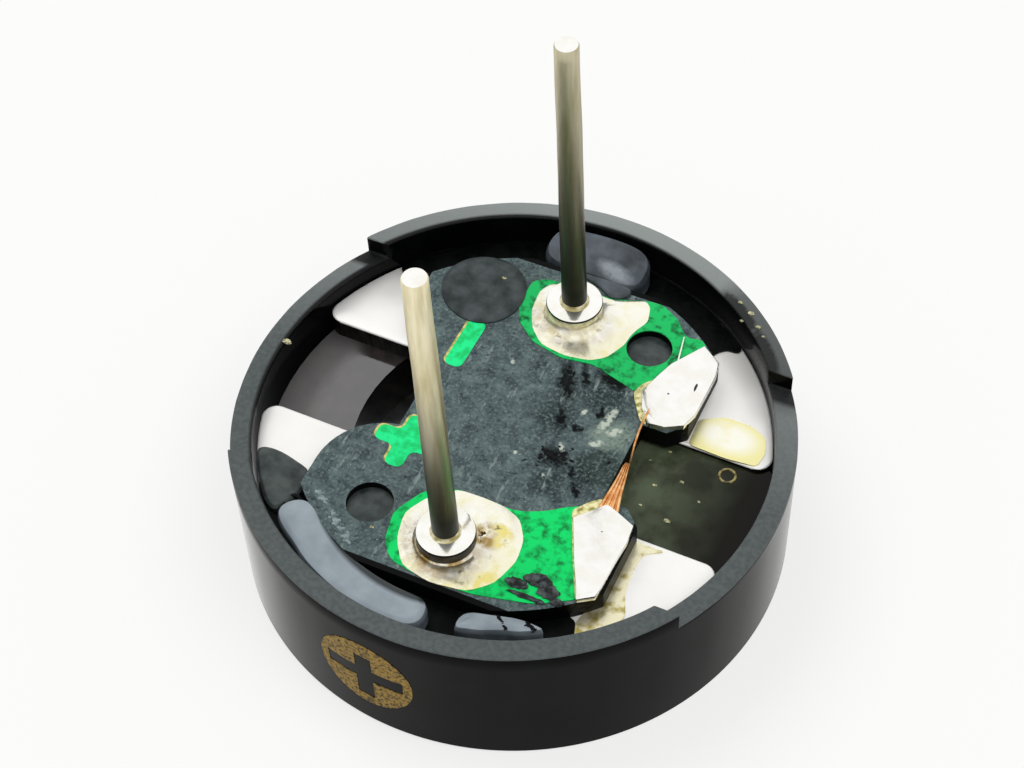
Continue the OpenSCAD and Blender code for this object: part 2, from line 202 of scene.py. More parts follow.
# The rim's top is rubbed grey by handling, with pale dust towards the back. It stays black along
# its lip, is darker in a wide patch and two streaks at the back right, and has painted shadow in
# the corners under the back arc's steps.
abs_rim, tree, shader, coords = surface(
    "rubbed_black_abs", {"Roughness": 0.42, "IOR": 1.54, "Specular IOR Level": 0.2},
    ("#4b5152", "#555c5b"), 0.1, bump=0.5, fine=0.05)
place = add(tree, "SeparateXYZ", {}, {"Vector": coords})
dusty = add(tree, "MapRange", {"From Max": dust_y}, {"Value": place.outputs["Y"]})
lip = add(tree, "VectorMath", {"operation": "DISTANCE", 1: lip_middle}, {0: coords})
lip = add(tree, "MapRange", {"From Min": lip_from, "From Max": lip_full},
          {"Value": lip.outputs["Value"]})
# Painted shadow: the low rim turns black in the corners that the back arc's steps shade.
painted_step_shadow = add(tree, "MapRange", {"From Min": step_shadow_from, "From Max": step_shadow_full},
            {"Value": place.outputs["Y"]})
below = add(tree, "Math", {"operation": "LESS_THAN", 1: step_shadow_top}, {0: place.outputs["Z"]})
painted_step_shadow = add(tree, "Math", {"operation": "MULTIPLY"}, {0: painted_step_shadow, 1: below})
for share, code in ((dusty, "#929896"), (lip, "#060707"), (painted_step_shadow, "#040505"),
                    (marked(tree, coords, rim_dark_patch, 1.0, 0.0, 0.3, 0.6), "#26292a"),
                    (marked(tree, coords, rim_dark_streaks, 1.5, 0.05, 0.4, 0.85), "#0a0b0a")):
    tint(tree, shader, code, share)

case_mesh = bmesh.new()
spun(case_mesh, [
    (sound_hole_r, 0), (body_r - front_bevel, 0), (body_r, front_bevel),
    (body_r, front_bevel + hold), (body_r, rim_z - hold), (body_r, rim_z), (bore_r, rim_z),
    (bore_r, rim_z - hold), (bore_r, ledge_z), (ledge_r, ledge_z), (ledge_r, front_t),
    (sound_hole_r, front_t)])
# Vertices close to the channel's sides move on to them, so that the cuts leave no slivers.
for v in case_mesh.verts:
    out = v.co.to_2d().length
    if out > 0.9 * ledge_r and abs(abs(v.co.y) - channel_half) < sliver:
        v.co.x = math.copysign(math.sqrt(out ** 2 - channel_half ** 2), v.co.x)
        v.co.y = math.copysign(channel_half, v.co.y)
for side in (-1, 1):
    bmesh.ops.bisect_plane(case_mesh, geom=whole(case_mesh), dist=1e-7,
                           plane_co=(0, side * channel_half, 0), plane_no=(0, side, 0))
arcs =[f for f in case_mesh.faces
        if f.normal.z > 0.9 and f.calc_center_median().z > rim_z - level
        and abs(f.calc_center_median().y) > channel_half]
raised(case_mesh, arcs, arc_z - rim_z, keep=False)
bmesh.ops.delete(case_mesh, geom=[f for f in arcs if f.is_valid], context="FACES_ONLY")
rounded(case_mesh, [e for e in case_mesh.edges
                    if len(e.link_faces) == 2 and e.calc_face_angle() > math.radians(40)
                    and min(v.co.z for v in e.verts) > rim_z - level], rim_round, 2)
# Without a seed of its own, the wave would differ from run to run.
noise.seed_set(1)
for v in case_mesh.verts:
    if v.co.z > rim_from:
        v.co += noise.noise_vector(v.co * per(wave_mm)) * wave
for f in case_mesh.faces:
    f.material_index = int(f.normal.z > 0.35 and f.calc_center_median().z > rim_from)
case = piece("case_shell", case_mesh, abs_wall, abs_rim)
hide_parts("case")


# Plus print on the wall
# Round polarity mark pad-printed in gold ink on the case's side, with the plus left bare. The
# ink is a hundredth of a millimetre thick and has worn to specks.
print_turn, print_z, print_r = math.radians(-96), 1.85 * MM, 1.1 * MM
arm_half, arm_reach, arm_low, arm_high = 0.2 * MM, 0.89 * MM, -0.82 * MM, 0.66 * MM
ink_t = 0.012 * MM
# Upright cuts each side of the middle let the flat print bend round the wall.
cuts, cut_step = 10, 0.1 * MM

# Gold ink: a dull metallic yellow, with dark specks where it wore through.
gold_ink, *_ = surface(
    "worn_gold_ink", {"Roughness": 0.5, "IOR": 1.5, "Specular IOR Level": 0.15},
    ("#342a10", "#a5853a"), 0.07, spread=(0.36, 0.56), bump=0.2)

print_mesh = bmesh.new()
bmesh.ops.create_circle(print_mesh, segments=72, radius=print_r)
plus = [(-arm_reach, -arm_half), (-arm_half, -arm_half), (-arm_half, arm_low), (arm_half, arm_low),
        (arm_half, -arm_half), (arm_reach, -arm_half), (arm_reach, arm_half), (arm_half, arm_half),
        (arm_half, arm_high), (-arm_half, arm_high), (-arm_half, arm_half), (-arm_reach, arm_half)]
corners = [print_mesh.verts.new((x, y, 0)) for x, y in plus]
for pair in zip(corners, corners[1:] + corners[:1]):
    print_mesh.edges.new(pair)
bmesh.ops.triangle_fill(print_mesh, edges=print_mesh.edges[:], use_beauty=True)
for n in range(-cuts, cuts + 1):
    bmesh.ops.bisect_plane(print_mesh, geom=whole(print_mesh), dist=1e-8,
                           plane_co=(n * cut_step, 0, 0), plane_no=(1, 0, 0))
for v in print_mesh.verts:
    turn = print_turn + v.co.x / body_r
    v.co = (body_r * math.cos(turn), body_r * math.sin(turn), print_z + v.co.y)
bmesh.ops.recalc_face_normals(print_mesh, faces=print_mesh.faces)
if print_mesh.faces[:][0].normal.dot((math.cos(print_turn), math.sin(print_turn), 0)) < 0:
    bmesh.ops.reverse_faces(print_mesh, faces=print_mesh.faces)
bmesh.ops.solidify(print_mesh, geom=print_mesh.faces[:], thickness=-ink_t)
bmesh.ops.recalc_face_normals(print_mesh, faces=print_mesh.faces)
wall_print = piece("wall_plus_print", print_mesh, gold_ink)


# Diaphragm, armature disc, ring magnet and core post
# The parts that drive the sound, stacked in the case: a rolled spring-steel disc with a small
# steel disc welded to it, a sintered ferrite ring, and a turned steel post. The solids are shown.
magnet_smooth, magnet_rough = (4.8 * MM, 0.08), (5.3 * MM, 0.6)


def dress(name, finish):
    """Gives a solid of the frame its material."""
    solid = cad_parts[name].data
    solid.materials.clear()
    solid.materials.append(finish)


# Rolled steel: a grey metal with a soft sheen.
steel, *_ = surface("rolled_steel", {"Metallic": 1.0, "Roughness": 0.3},
                    ("#9a9da1", "#c3c5c8"), 0.5, bump=0.15, fine=0.08)
# Sintered ferrite: brown-black, ground so smooth that it mirrors, and rough towards its rim. Its
# upright faces carry painted shade.
ferrite, tree, shader, coords = surface("sintered_ferrite", {"IOR": 2.3},
                                        ("#1c1717", "#2c2525"), 0.3, bump=0.03, fine=0.05)
# Painted shade: the faces grow nearly black as they turn upright.
ferrite_side_shade = add(tree, "SeparateXYZ", {}, {"Vector": add(tree, "TexCoord").outputs["Normal"]})
tint(tree, shader, "#0a0909", ferrite_side_shade.outputs["Z"], keep="Color2")
out = add(tree, "VectorMath", {"operation": "LENGTH"}, {0: coords})
coarse = add(tree, "MapRange", {"From Min": magnet_smooth[0], "From Max": magnet_rough[0],
                                "To Min": magnet_smooth[1], "To Max": magnet_rough[1]},
             {"Value": out.outputs["Value"]})
tree.links.new(coarse.outputs["Result"], shader.inputs["Roughness"])
for name in ("diaphragm", "armature_disc", "core_post"):
    dress(name, steel)
dress("ring_magnet", ferrite)


# Winding and leads
# Layers of fine enamelled copper wire round the post, in turns that show as ridges, and the two
# ends of the wire, which come up through the notch to the solder.
coil_in, coil_out = 0.85 * MM, 2.3 * MM
coil_low, coil_high = 1.35 * MM, 2.3 * MM
turns, groove = 12, 0.02 * MM
plus_lead = [(2.2, -0.15, 2.25), (2.5, 0.15, 2.66), (2.57, 0.2, 3.0), (2.6, 0.05, 3.3),
             (2.7, -0.6, 3.43), (2.72, -1.0, 3.46), (2.75, -1.35, 3.42)]
minus_lead = [(2.2, 0.2, 2.25), (2.5, 0.3, 2.66), (2.58, 0.25, 3.05), (2.56, 0.55, 3.38),
              (2.54, 0.95, 3.47), (2.53, 1.25, 3.48), (2.56, 1.6, 3.44)]
# The plus lead frays into a fan of strands, which start thin and lie in two layers.
strand_r, strands, fan_half, layer = 0.035 * MM, 7, 0.19, 0.04
fan_taper = (0.3, 0.3, 0.3, 0.4, 0.7, 1.0, 1.0)
minus_taper = 0.7

# Enamelled copper: orange metal under a clear coat that softens its shine.
copper, *_ = surface("enamelled_copper", {"Metallic": 0.6, "Roughness": 0.35},
                     ("#d88f4c", "#fbc98c"), 0.2)

coil_mesh = bmesh.new()
ridge = (coil_high - coil_low) / turns
outer = [(coil_out - (groove if n % 2 else 0), coil_low + ridge * n / 2)
         for n in range(2 * turns + 1)]
spun(coil_mesh, [(coil_in, coil_high), (coil_in, coil_low)] + outer, steps=96)
wires = [minus_lead]
for strand in range(strands):
    aside = fan_half * (2 * strand / (strands - 1) - 1)
    wires.append([(x + aside * (n / (len(plus_lead) - 1)) ** 2, y, z - layer * (strand % 2))
                  for n, (x, y, z) in enumerate(plus_lead)])
for points in wires:
    curve = bpy.data.curves.new("lead_path", "CURVE")
    curve.dimensions, curve.bevel_depth, curve.bevel_resolution = "3D", strand_r, 3
    curve.use_fill_caps = True
    spline = curve.splines.new("NURBS")
    spline.points.add(len(points) - 1)
    spline.use_endpoint_u, spline.order_u, spline.resolution_u = True, 4, 8
    for point, place, share in zip(spline.points, points, fan_taper):
        point.co = (*(c * MM for c in place), 1)
        point.radius = minus_taper if points is minus_lead else share
    path = bpy.data.objects.new("lead_path", curve)
    bpy.context.scene.collection.objects.link(path)
    tube = bpy.data.meshes.new_from_object(
        path.evaluated_get(bpy.context.evaluated_depsgraph_get()))
    coil_mesh.from_mesh(tube)
    bpy.data.objects.remove(path)
    bpy.data.curves.remove(curve)
    bpy.data.meshes.remove(tube)
bmesh.ops.remove_doubles(coil_mesh, verts=coil_mesh.verts, dist=1e-8)
coil = piece("winding_and_leads", coil_mesh, copper)
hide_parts("coil_winding")


# Yoke plate
# Round steel plate stamped with a notch each side, its corners rounded and its edges rolled over
# by the press, then nickel plated. The post is pressed into its middle, and it sits a little askew.
yoke_r, yoke_low, yoke_t = 5.5 * MM, 2.3 * MM, 0.5 * MM
core_r, notch_in, notch_half, mouth_r = 0.8 * MM, 2.1 * MM, 1.3 * MM, 0.32 * MM
yoke_roll = 0.05 * MM
yoke_turn, yoke_aside = math.radians(-0.75), 0.035

# Nickel plate: nearly white, scuffed to a satin that blurs what it mirrors.
nickel, tree, shader, coords = surface("bright_nickel_plate", {"Metallic": 0.35},
                                       ("#f8f7f3", "#fdfcf9"), 1.4)
scuffs = add(tree, "TexNoise", {"Scale": per(0.8), "Detail": 2.0}, {"Vector": coords})
dull = add(tree, "MapRange", {"From Min": 0.35, "From Max": 0.7, "To Min": 0.3, "To Max": 0.36},
           {"Value": scuffs})
tree.links.new(dull.outputs["Result"], shader.inputs["Roughness"])
# The sheared edge took little plating: grey steel with upright tear marks, darkened further by
# painted shade.
sheared_shaded_steel, *_ = surface("sheared_steel_and_shade", {"Metallic": 1.0, "Roughness": 0.45},
                      ("#1d1c1b", "#353331"), 0.1, bump=0.3, fine=0.06, stretch=(1, 1, 0.2))


def arc(bm, start, centre, degrees, steps):
    """Draws an arc of edges from a vertex round a centre, and gives its last vertex."""
    made = bmesh.ops.spin(bm, geom=[start], cent=centre, axis=(0, 0, 1), dvec=(0, 0, 0),
                          angle=math.radians(degrees), steps=steps)["geom_last"]
    return [v for v in made if isinstance(v, bmesh.types.BMVert)][0]


yoke_mesh = bmesh.new()
mouth_y = notch_half + mouth_r
mouth_x = math.sqrt((yoke_r - mouth_r) ** 2 - mouth_y ** 2)
mouth_turn = math.degrees(math.atan2(mouth_y, mouth_x))
low = yoke_mesh.verts.new((core_r, 0, 0))
top = arc(yoke_mesh, low, (0, 0, 0), 90, 16)
inner = yoke_mesh.verts.new((notch_in, 0, 0))
corner = yoke_mesh.verts.new((notch_in, notch_half, 0))
tangent = yoke_mesh.verts.new((mouth_x, notch_half, 0))
shoulder = arc(yoke_mesh, tangent, (mouth_x, mouth_y, 0), 90 + mouth_turn, 10)
crown = arc(yoke_mesh, shoulder, (0, 0, 0), 90 - mouth_turn, 40)
for pair in ((low, inner), (inner, corner), (corner, tangent), (crown, top)):
    yoke_mesh.edges.new(pair)
bmesh.ops.contextual_create(yoke_mesh, geom=yoke_mesh.edges[:])
for axis in "XY":
    bmesh.ops.mirror(yoke_mesh, geom=whole(yoke_mesh), axis=axis, merge_dist=1e-7)
bmesh.ops.remove_doubles(yoke_mesh, verts=yoke_mesh.verts, dist=1e-7)
bmesh.ops.recalc_face_normals(yoke_mesh, faces=yoke_mesh.faces)
raised(yoke_mesh, yoke_mesh.faces[:], yoke_t)
bmesh.ops.recalc_face_normals(yoke_mesh, faces=yoke_mesh.faces)
rounded(yoke_mesh, [e for e in yoke_mesh.edges
                    if len(e.link_faces) == 2 and e.calc_face_angle() > math.radians(60)
                    and min(v.co.z for v in e.verts) > yoke_t / 2
                    and min(v.co.to_2d().length for v in e.verts) > 1.5 * core_r], yoke_roll, 3)
bmesh.ops.translate(yoke_mesh, vec=(0, 0, yoke_low), verts=yoke_mesh.verts)
bmesh.ops.rotate(yoke_mesh, cent=(0, 0, 0), matrix=Matrix.Rotation(yoke_turn, 3, "Z"),
                 verts=yoke_mesh.verts)
bmesh.ops.translate(yoke_mesh, vec=(0, yoke_aside * MM, 0), verts=yoke_mesh.verts)
# The upright faces take the dark edge steel, which is partly painted shade.
for f in yoke_mesh.faces:
    f.material_index = int(abs(f.normal.z) < 0.3)
yoke = piece("yoke_plate_plated", yoke_mesh, nickel, sheared_shaded_steel)
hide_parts("yoke_plate")


# Circuit board
# Punched glass-fibre laminate with blue-black printed ink on its top, and black edges that are
# partly painted shade. The solid is shown; the ink is semi-gloss, scratched, pitted, and scorched
# where it was overheated.
ink_end, ink_side = 4.27 * MM, 3.33 * MM
# Each mark on the ink: its middle, half length, half width, and its turn in degrees.
scorched = [(0.6, 1.5, 0.75, 0.28, -69), (0.9, 1.8, 0.5, 0.15, -71), (1.46, 1.9, 0.5, 0.28, -17),
            (0.88, 0.52, 0.5, 0.14, -69), (1.3, 0.43, 0.14, 0.14, 0), (1.59, 0.98, 0.22, 0.1, -64),
            (1.16, -0.43, 0.45, 0.42, 15), (1.16, -0.5, 0.3, 0.28, 0),
            (1.6, -0.66, 0.36, 0.09, -61), (1.93, -1.06, 0.28, 0.14, -51),
            (2.24, -0.16, 0.12, 0.12, 0), (0.62, -0.75, 0.12, 0.06, 63)]
scraped = [(1.8, 0.88, 0.5, 0.13, 79), (1.26, 0.88, 0.14, 0.07, 67), (1.82, 0.22, 0.2, 0.11, 28),
           (1.2, -0.18, 0.18, 0.08, -51), (1.12, -0.96, 0.06, 0.06, 0),
           (0.36, -0.66, 0.06, 0.06, 0), (-0.7, 1.52, 0.07, 0.07, 0), (2.04, 0.63, 0.25, 0.14, 32)]
glazed = [(2.15, -0.35, 0.75, 0.8, 0)]
hazed = [(2.05, 0.55, 0.65, 0.5, 23)]
smoked = [(1.5, 1.45, 0.95, 0.8, 0), (1.75, -0.75, 0.6, 0.6, 0), (1.3, -1.05, 0.7, 0.55, 0),
          (0.75, 0.6, 0.6, 0.9, 0)]
# The marks' edges wander by up to this much.
wander = 0.2 * MM

# Printed ink: a cloudy blue grey that is rough to the eye, glossy where flux glazed it.
board_ink, tree, shader, coords = surface(
    "printed_board_ink", {"Roughness": 0.4, "IOR": 1.5, "Specular IOR Level": 0.08},
    ("#3e494d", "#637372"), 0.3, spread=(0.33, 0.67), bump=0.7, fine=0.1)
warp = add(tree, "TexNoise", {"Scale": per(0.25), "Detail": 6.0}, {"Vector": coords})
warp = add(tree, "VectorMath", {"operation": "MULTIPLY_ADD", 1: [2 * wander] * 3,
                                2: [-wander] * 3}, {0: warp.outputs["Color"]})
bent = add(tree, "VectorMath", {"operation": "ADD"}, {0: coords, 1: warp})
glaze = marked(tree, bent, glazed, 0.3, 0.2, 0.45, 0.8)
for share, code in ((glaze, "#2b3a35"),
                    (marked(tree, bent, smoked, 2.5, 0.05, 0.7, 0.7), "#1a2223"),
                    (marked(tree, bent, hazed, 3.0, 0.05, 0.6, 0.7), "#8a9c8e")):
    tint(tree, shader, code, share)
gloss = add(tree, "MapRange", {"To Min": 0.42, "To Max": 0.15}, {"Value": glaze})
tree.links.new(gloss.outputs["Result"], shader.inputs["Roughness"])
streaks = add(tree, "Mapping", {"Rotation": (0, 0, 0.9), "Scale": (1, 0.25, 1)},
              {"Vector": coords})
# Each layer: where the pattern is read, its grain, the range that turns it on, and its colour.
for place, grain, low, high, code in ((streaks, 0.14, 0.63, 0.72, "#8d9b98"),
                                      (coords, 0.07, 0.5, 0.78, "#7b8c8c"),
                                      (coords, 0.08, 0.47, 0.22, "#182025"),
                                      (coords, 0.05, 0.69, 0.74, "#cfd5cd")):
    pattern = add(tree, "TexNoise", {"Scale": per(grain), "Detail": 3.0}, {"Vector": place})
    tint(tree, shader, code, add(
        tree, "MapRange", {"From Min": low, "From Max": high, "To Max": 0.8}, {"Value": pattern}))
for place, marks, rough, code in ((bent, scorched, 2.6, "#030404"),
                                  (coords, scraped, 6.0, "#bdc6b8")):
    tint(tree, shader, code, marked(tree, place, marks, rough, 0.1, 0.6, 0.96))
# The ink is on the top face only, and stops short of the board's ends and its lead side. Beyond it
# the board is black, partly its cut edge and partly painted shade.
up = add(tree, "SeparateXYZ", {}, {"Vector": add(tree, "TexCoord").outputs["Normal"]})
place = add(tree, "SeparateXYZ", {}, {"Vector": coords})
end = add(tree, "Math", {"operation": "ABSOLUTE"}, {0: place.outputs["Y"]})
inked = add(tree, "Math", {"operation": "GREATER_THAN", 1: 0.5}, {0: up.outputs["Z"]})
for source, limit in ((end, ink_end), (place.outputs["X"], ink_side)):
    inside = add(tree, "Math", {"operation": "LESS_THAN", 1: limit}, {0: source})
    inked = add(tree, "Math", {"operation": "MULTIPLY"}, {0: inked, 1: inside})
# Painted shade in part: black on the board's sides and past the ink.
tint(tree, shader, "#050606", inked, keep="Color2")
dress("circuit_board", board_ink)


# Lands and polarity marks
# Copper lands at the board's ends under glossy green solder mask, and a plus and a minus where
# the ink leaves the mask bare. Each is a thin flat film with rounded corners.
land_low, land_high, land_corner = 3.295, 3.325, 0.2
mark_low, mark_high, mark_corner = 3.29, 3.312, 0.15
land_hole = (1.87, 3.01, 0.5)
plus_land = [(-1.16, -3.75), (-1.31, -3.04), (-0.95, -2.31), (-0.3, -2.0), (0.73, -2.04),
             (1.07, -2.01), (1.54, -1.80), (1.96, -1.49), (2.4, -1.3), (3.2, -1.5), (3.3, -1.8),
             (3.25, -3.1), (2.97, -3.5), (2.24, -3.93), (1.05, -4.2), (0.0, -4.27), (-0.85, -4.12)]
minus_land = [(-1.24, 3.75), (-1.24, 3.04), (-1.04, 2.6), (-0.55, 2.2), (0.2, 2.02), (0.93, 2.12),
              (1.62, 1.92), (2.03, 1.8), (2.45, 1.4), (3.2, 1.35), (3.3, 1.6), (3.3, 3.0),
              (2.95, 3.58), (2.8, 3.68), (2.55, 3.6), (2.36, 3.72), (2.14, 4.0), (1.69, 4.25),
              (1.36, 4.24), (0.92, 4.07), (0.5, 3.97), (0.0, 4.0), (-0.5, 4.0), (-1.0, 3.93)]
plus_mark = [(-2.56, -1.5), (-2.08, -1.5), (-2.08, -2.0), (-1.67, -2.0), (-1.67, -1.5),
             (-1.28, -1.5), (-1.28, -1.08), (-1.67, -1.08), (-1.67, -0.62), (-2.08, -0.62),
             (-2.08, -1.08), (-2.56, -1.08)]
minus_mark = [(-2.08, 0.9), (-1.67, 0.9), (-1.64, 2.26), (-2.05, 2.26)]
# The mask's thin edge shows beside each mark, this far to its left, back and below its top.
fringe_x, fringe_y, fringe_down = -0.05, 0.02, 0.006


def slab(name, finish, outline, low, high, corner, holes=()):
    """A flat piece: an outline with rounded corners and round holes, raised from low to high."""
    bm = bmesh.new()
    bm.faces.new([bm.verts.new((x * MM, y * MM, low * MM)) for x, y in outline])
    rounded(bm, bm.verts[:], corner * MM, 4, affect="VERTICES")
    bmesh.ops.remove_doubles(bm, verts=bm.verts, dist=0.002 * MM)
    if holes:
        bmesh.ops.delete(bm, geom=bm.faces[:], context="FACES_ONLY")
        for x, y, radius in holes:
            bmesh.ops.create_circle(bm, segments=48, radius=radius * MM,
                                    matrix=Matrix.Translation((x * MM, y * MM, low * MM)))
        bmesh.ops.triangle_fill(bm, edges=bm.edges[:], use_beauty=True)
    raised(bm, bm.faces[:], (high - low) * MM)
    bmesh.ops.recalc_face_normals(bm, faces=bm.faces)
    return piece(name, bm, finish)


# Solder mask: a glossy green lacquer, darker where it is thin over rough copper.
lands = {"plus_land": (plus_land, ("#067a38", "#08dc6c"), ()),
         "minus_land": (minus_land, ("#08552a", "#1cc466"), (land_hole,))}
for name, (outline, colours, holes) in lands.items():
    green_mask, *_ = surface(
        "green_solder_mask_" + name, {"Roughness": 0.3, "IOR": 1.5, "Specular IOR Level": 0.2},
        colours, 0.18, spread=(0.3, 0.52), bump=0.6, fine=0.1)
    land = slab(name + "_mask", green_mask, outline, land_low, land_high, land_corner, holes)
    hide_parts(name)
# The same lacquer over bare laminate is a brighter green, and yellow where it thins out.
bare_mask, *_ = surface(
    "bare_green_mask", {"Roughness": 0.35, "IOR": 1.5, "Specular IOR Level": 0.3},
    ("#0cc869", "#1cef90"), 0.2, bump=0.3, fine=0.1)
yellow_mask, *_ = surface("thin_yellow_mask", {"Roughness": 0.4, "IOR": 1.5},
                          ("#8f9a4a", "#e6cf7e"), 0.15)
for name, outline in (("board_plus_mark", plus_mark), ("board_minus_mark", minus_mark)):
    slab(name, bare_mask, outline, mark_low, mark_high, mark_corner)
    fringe = [(x + fringe_x, y + fringe_y) for x, y in outline]
    slab(name + "_fringe", yellow_mask, fringe, mark_low, mark_high - fringe_down,
                 mark_corner)


# Pins
# Drawn brass wire with a pressed flange, tinned all over and dulled by handling, soldered
# upright on the board. Each leans a little, and its end is sheared off bright.
pin_y, pin_r, tip_r = 3.25 * MM, 0.28 * MM, 0.25 * MM
flange_r, tail_low, lean_to = 0.62 * MM, 2.9 * MM, math.radians(205)
# The stem starts inside the flange, and its side is uneven by this much over this length.
stem_sunk, stem_steps, uneven, uneven_mm = 0.1 * MM, 30, 0.009 * MM, 1.1
# How far in and down the rounding of the tip and of the flange goes.
tip_edge = [(0.0, 0.05), (0.02, 0.01), (0.05, 0.0)]
flange_edge = [(0.0, 0.06), (0.015, 0.02), (0.05, 0.0)]
# The solder fillet at the pin's foot: how far out and up its section goes.
fillet = [(-0.01, -0.01), (0.05, -0.01), (0.05, 0.005), (0.03, 0.02), (0.01, 0.06), (0.0, 0.1),
          (-0.01, 0.1)]
# For each pin: side, lean, flange bottom and top, tip, and the height where the painted shade on
# the tin ends.
pins = {"plus_pin": (-1, 1.1, 3.36, 3.68, 11.5, 9.0), "minus_pin": (1, 0.9, 3.5, 3.8, 11.38, 15)}
shade_to = 4.3 * MM

# Tin on the flange's top and the sheared tip: a clean mirror with a warm tone.
bright_tin, *_ = surface("bright_tin", {"Metallic": 1.0, "Roughness": 0.12},
                         ("#f8f6ec", "#fefdf9"), 0.3, bump=0.05, fine=0.12)
# Flux burnt on to the front flange's side: brown-black and glassy. On the flange it is partly
# painted shade.
burnt_flux_and_shade, *_ = surface("burnt_flux_and_shade", {"Roughness": 0.35, "IOR": 1.5},
                         ("#0a0805", "#33291a"), 0.16, spread=(0.45, 0.7), bump=0.4, fine=0.06)
# Tin under a thin stain of flux: duller and yellower.
tin_side, *_ = surface("stained_tin", {"Metallic": 1.0, "Roughness": 0.35},
                       ("#b5ac8a", "#ece6cc"), 0.2, bump=0.3, fine=0.1)
# Solder and flux run together at the foot: a pale yellow shine.
foot_flux, *_ = surface("foot_flux", {"Metallic": 0.7, "Roughness": 0.3},
                        ("#b3a672", "#f2ebc6"), 0.15, bump=0.3, fine=0.1)
for name, (side, lean, low, high, tip, unshaded_from) in pins.items():
    low, high, tip = low * MM, high * MM, tip * MM
    # Drawn tin: streaks along the wire, and painted shade that darkens it towards the foot, where
    # it mirrors the dark board.
    tin, tree, shader, coords = surface(
        "dull_tin_" + name, {"Metallic": 1.0, "Roughness": 0.4}, ("#d0c59a", "#fdf4d6"), 0.16,
        spread=(0.3, 0.7), bump=0.4, fine=0.06, stretch=(1, 1, 0.1))
    height = add(tree, "SeparateXYZ", {}, {"Vector": coords})
    share = add(tree, "MapRange", {"From Min": shade_to, "From Max": unshaded_from * MM},
                {"Value": height.outputs["Z"]})
    # Painted shade, full at the foot and gone at each pin's given height.
    tint(tree, shader, "#22251b", share, keep="Color2")
    pin_mesh = bmesh.new()
    length = tip - high
    straight = length - tip_edge[0][1] * MM
    spun(pin_mesh, [(0, -stem_sunk), (pin_r, -stem_sunk)]
         + [(pin_r + (tip_r - pin_r) * n / stem_steps, straight * n / stem_steps)
            for n in range(stem_steps + 1)]
         + [(tip_r - into * MM, length - down * MM) for into, down in tip_edge[1:]]
         + [(0, length)], steps=32, closed=False)
    for v in pin_mesh.verts:
        if v.co.to_2d().length > 0.5 * tip_r:
            v.co += noise.noise_vector(v.co * per(uneven_mm)) * uneven
    tilt = Matrix.Rotation(lean_to, 4, "Z") @ Matrix.Rotation(math.radians(lean), 4, "Y") \
        @ Matrix.Rotation(-lean_to, 4, "Z")
    bmesh.ops.transform(pin_mesh, matrix=Matrix.Translation((0, 0, high)) @ tilt,
                        verts=pin_mesh.verts)
    spun(pin_mesh, [(0, tail_low), (pin_r, tail_low), (pin_r, low), (flange_r, low)]
         + [(flange_r - into * MM, high - down * MM) for into, down in flange_edge]
         + [(0, high)], steps=64, closed=False)
    shaped = set(pin_mesh.faces)
    spun(pin_mesh, [(pin_r + out * MM, high + up * MM) for out, up in fillet], steps=48)
    bmesh.ops.translate(pin_mesh, vec=(0, side * pin_y, 0), verts=pin_mesh.verts)
    for f in pin_mesh.faces:
        if f not in shaped:
            f.material_index = 3
        elif f.normal.z > 0.5:
            f.material_index = 1
        elif f.calc_center_median().z < high - 0.05 * MM:
            f.material_index = 2
    # The front pin's flange side is dark with burnt flux and painted shade.
    pin = piece(name + "_tinned", pin_mesh, tin, bright_tin,
                burnt_flux_and_shade if name == "plus_pin" else tin_side, foot_flux)
    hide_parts(name)


# Solder round the pins
# Tin-lead solder that wetted each pad in a low pool and climbed to the flange. It is bright, with
# brown flux burnt on round the flange, which is partly painted shade, and yellow flux at its edge.
pad_low, pad_lump, pad_lump_mm = 3.31 * MM, 0.014 * MM, 0.3
plus_pad = [(-0.95, -3.62), (-1.09, -2.97), (-0.79, -2.41), (-0.31, -2.02), (0.23, -2.0),
            (0.74, -2.03), (1.16, -2.2), (1.44, -2.62), (1.52, -3.16), (1.33, -3.8),
            (0.9, -4.2), (0.1, -4.31), (-0.58, -4.15)]
minus_pad = [(-0.97, 3.56), (-0.93, 3.03), (-0.7, 2.53), (-0.33, 2.18), (0.26, 2.09), (0.81, 2.18),
             (1.12, 2.4), (1.34, 2.87), (1.36, 3.15), (1.42, 3.36), (1.56, 3.67), (1.46, 4.06),
             (1.3, 4.2), (0.92, 4.04), (0.55, 3.93), (0.1, 3.98), (-0.4, 3.96), (-0.82, 3.85)]
# The pool's section from its edge to the flange, as shares of the way and heights.
pad_rise = [(0.0, 0.03), (0.1, 0.05), (0.3, 0.055), (0.55, 0.06), (0.8, 0.08)]
spill_middle, spill_half = (0.85, -2.8, 3.36), (0.5, 0.4, 1)

# Fluxed solder: a pale bright metal under flux, which lies mostly on the side towards the viewer,
# in a spill beside the front pin, and less round the back pin. On the viewer's side the stains are
# partly painted shade.
fluxed, tree, shader, coords = surface(
    "fluxed_solder", {"Metallic": 0.8, "Roughness": 0.26}, ("#f7f3cd", "#fefdf3"), 0.3,
    spread=(0.3, 0.55), bump=0.5, fine=0.2)
place = add(tree, "SeparateXYZ", {}, {"Vector": coords})
side = add(tree, "Math", {"operation": "SIGN"}, {0: place.outputs["Y"]})
front = add(tree, "Math", {"operation": "MULTIPLY_ADD", 1: -pin_y},
            {0: side, 2: place.outputs["Y"]})
away = add(tree, "CombineXYZ", {}, {"X": place.outputs["X"], "Y": front})
reach = add(tree, "VectorMath", {"operation": "LENGTH"}, {0: away})
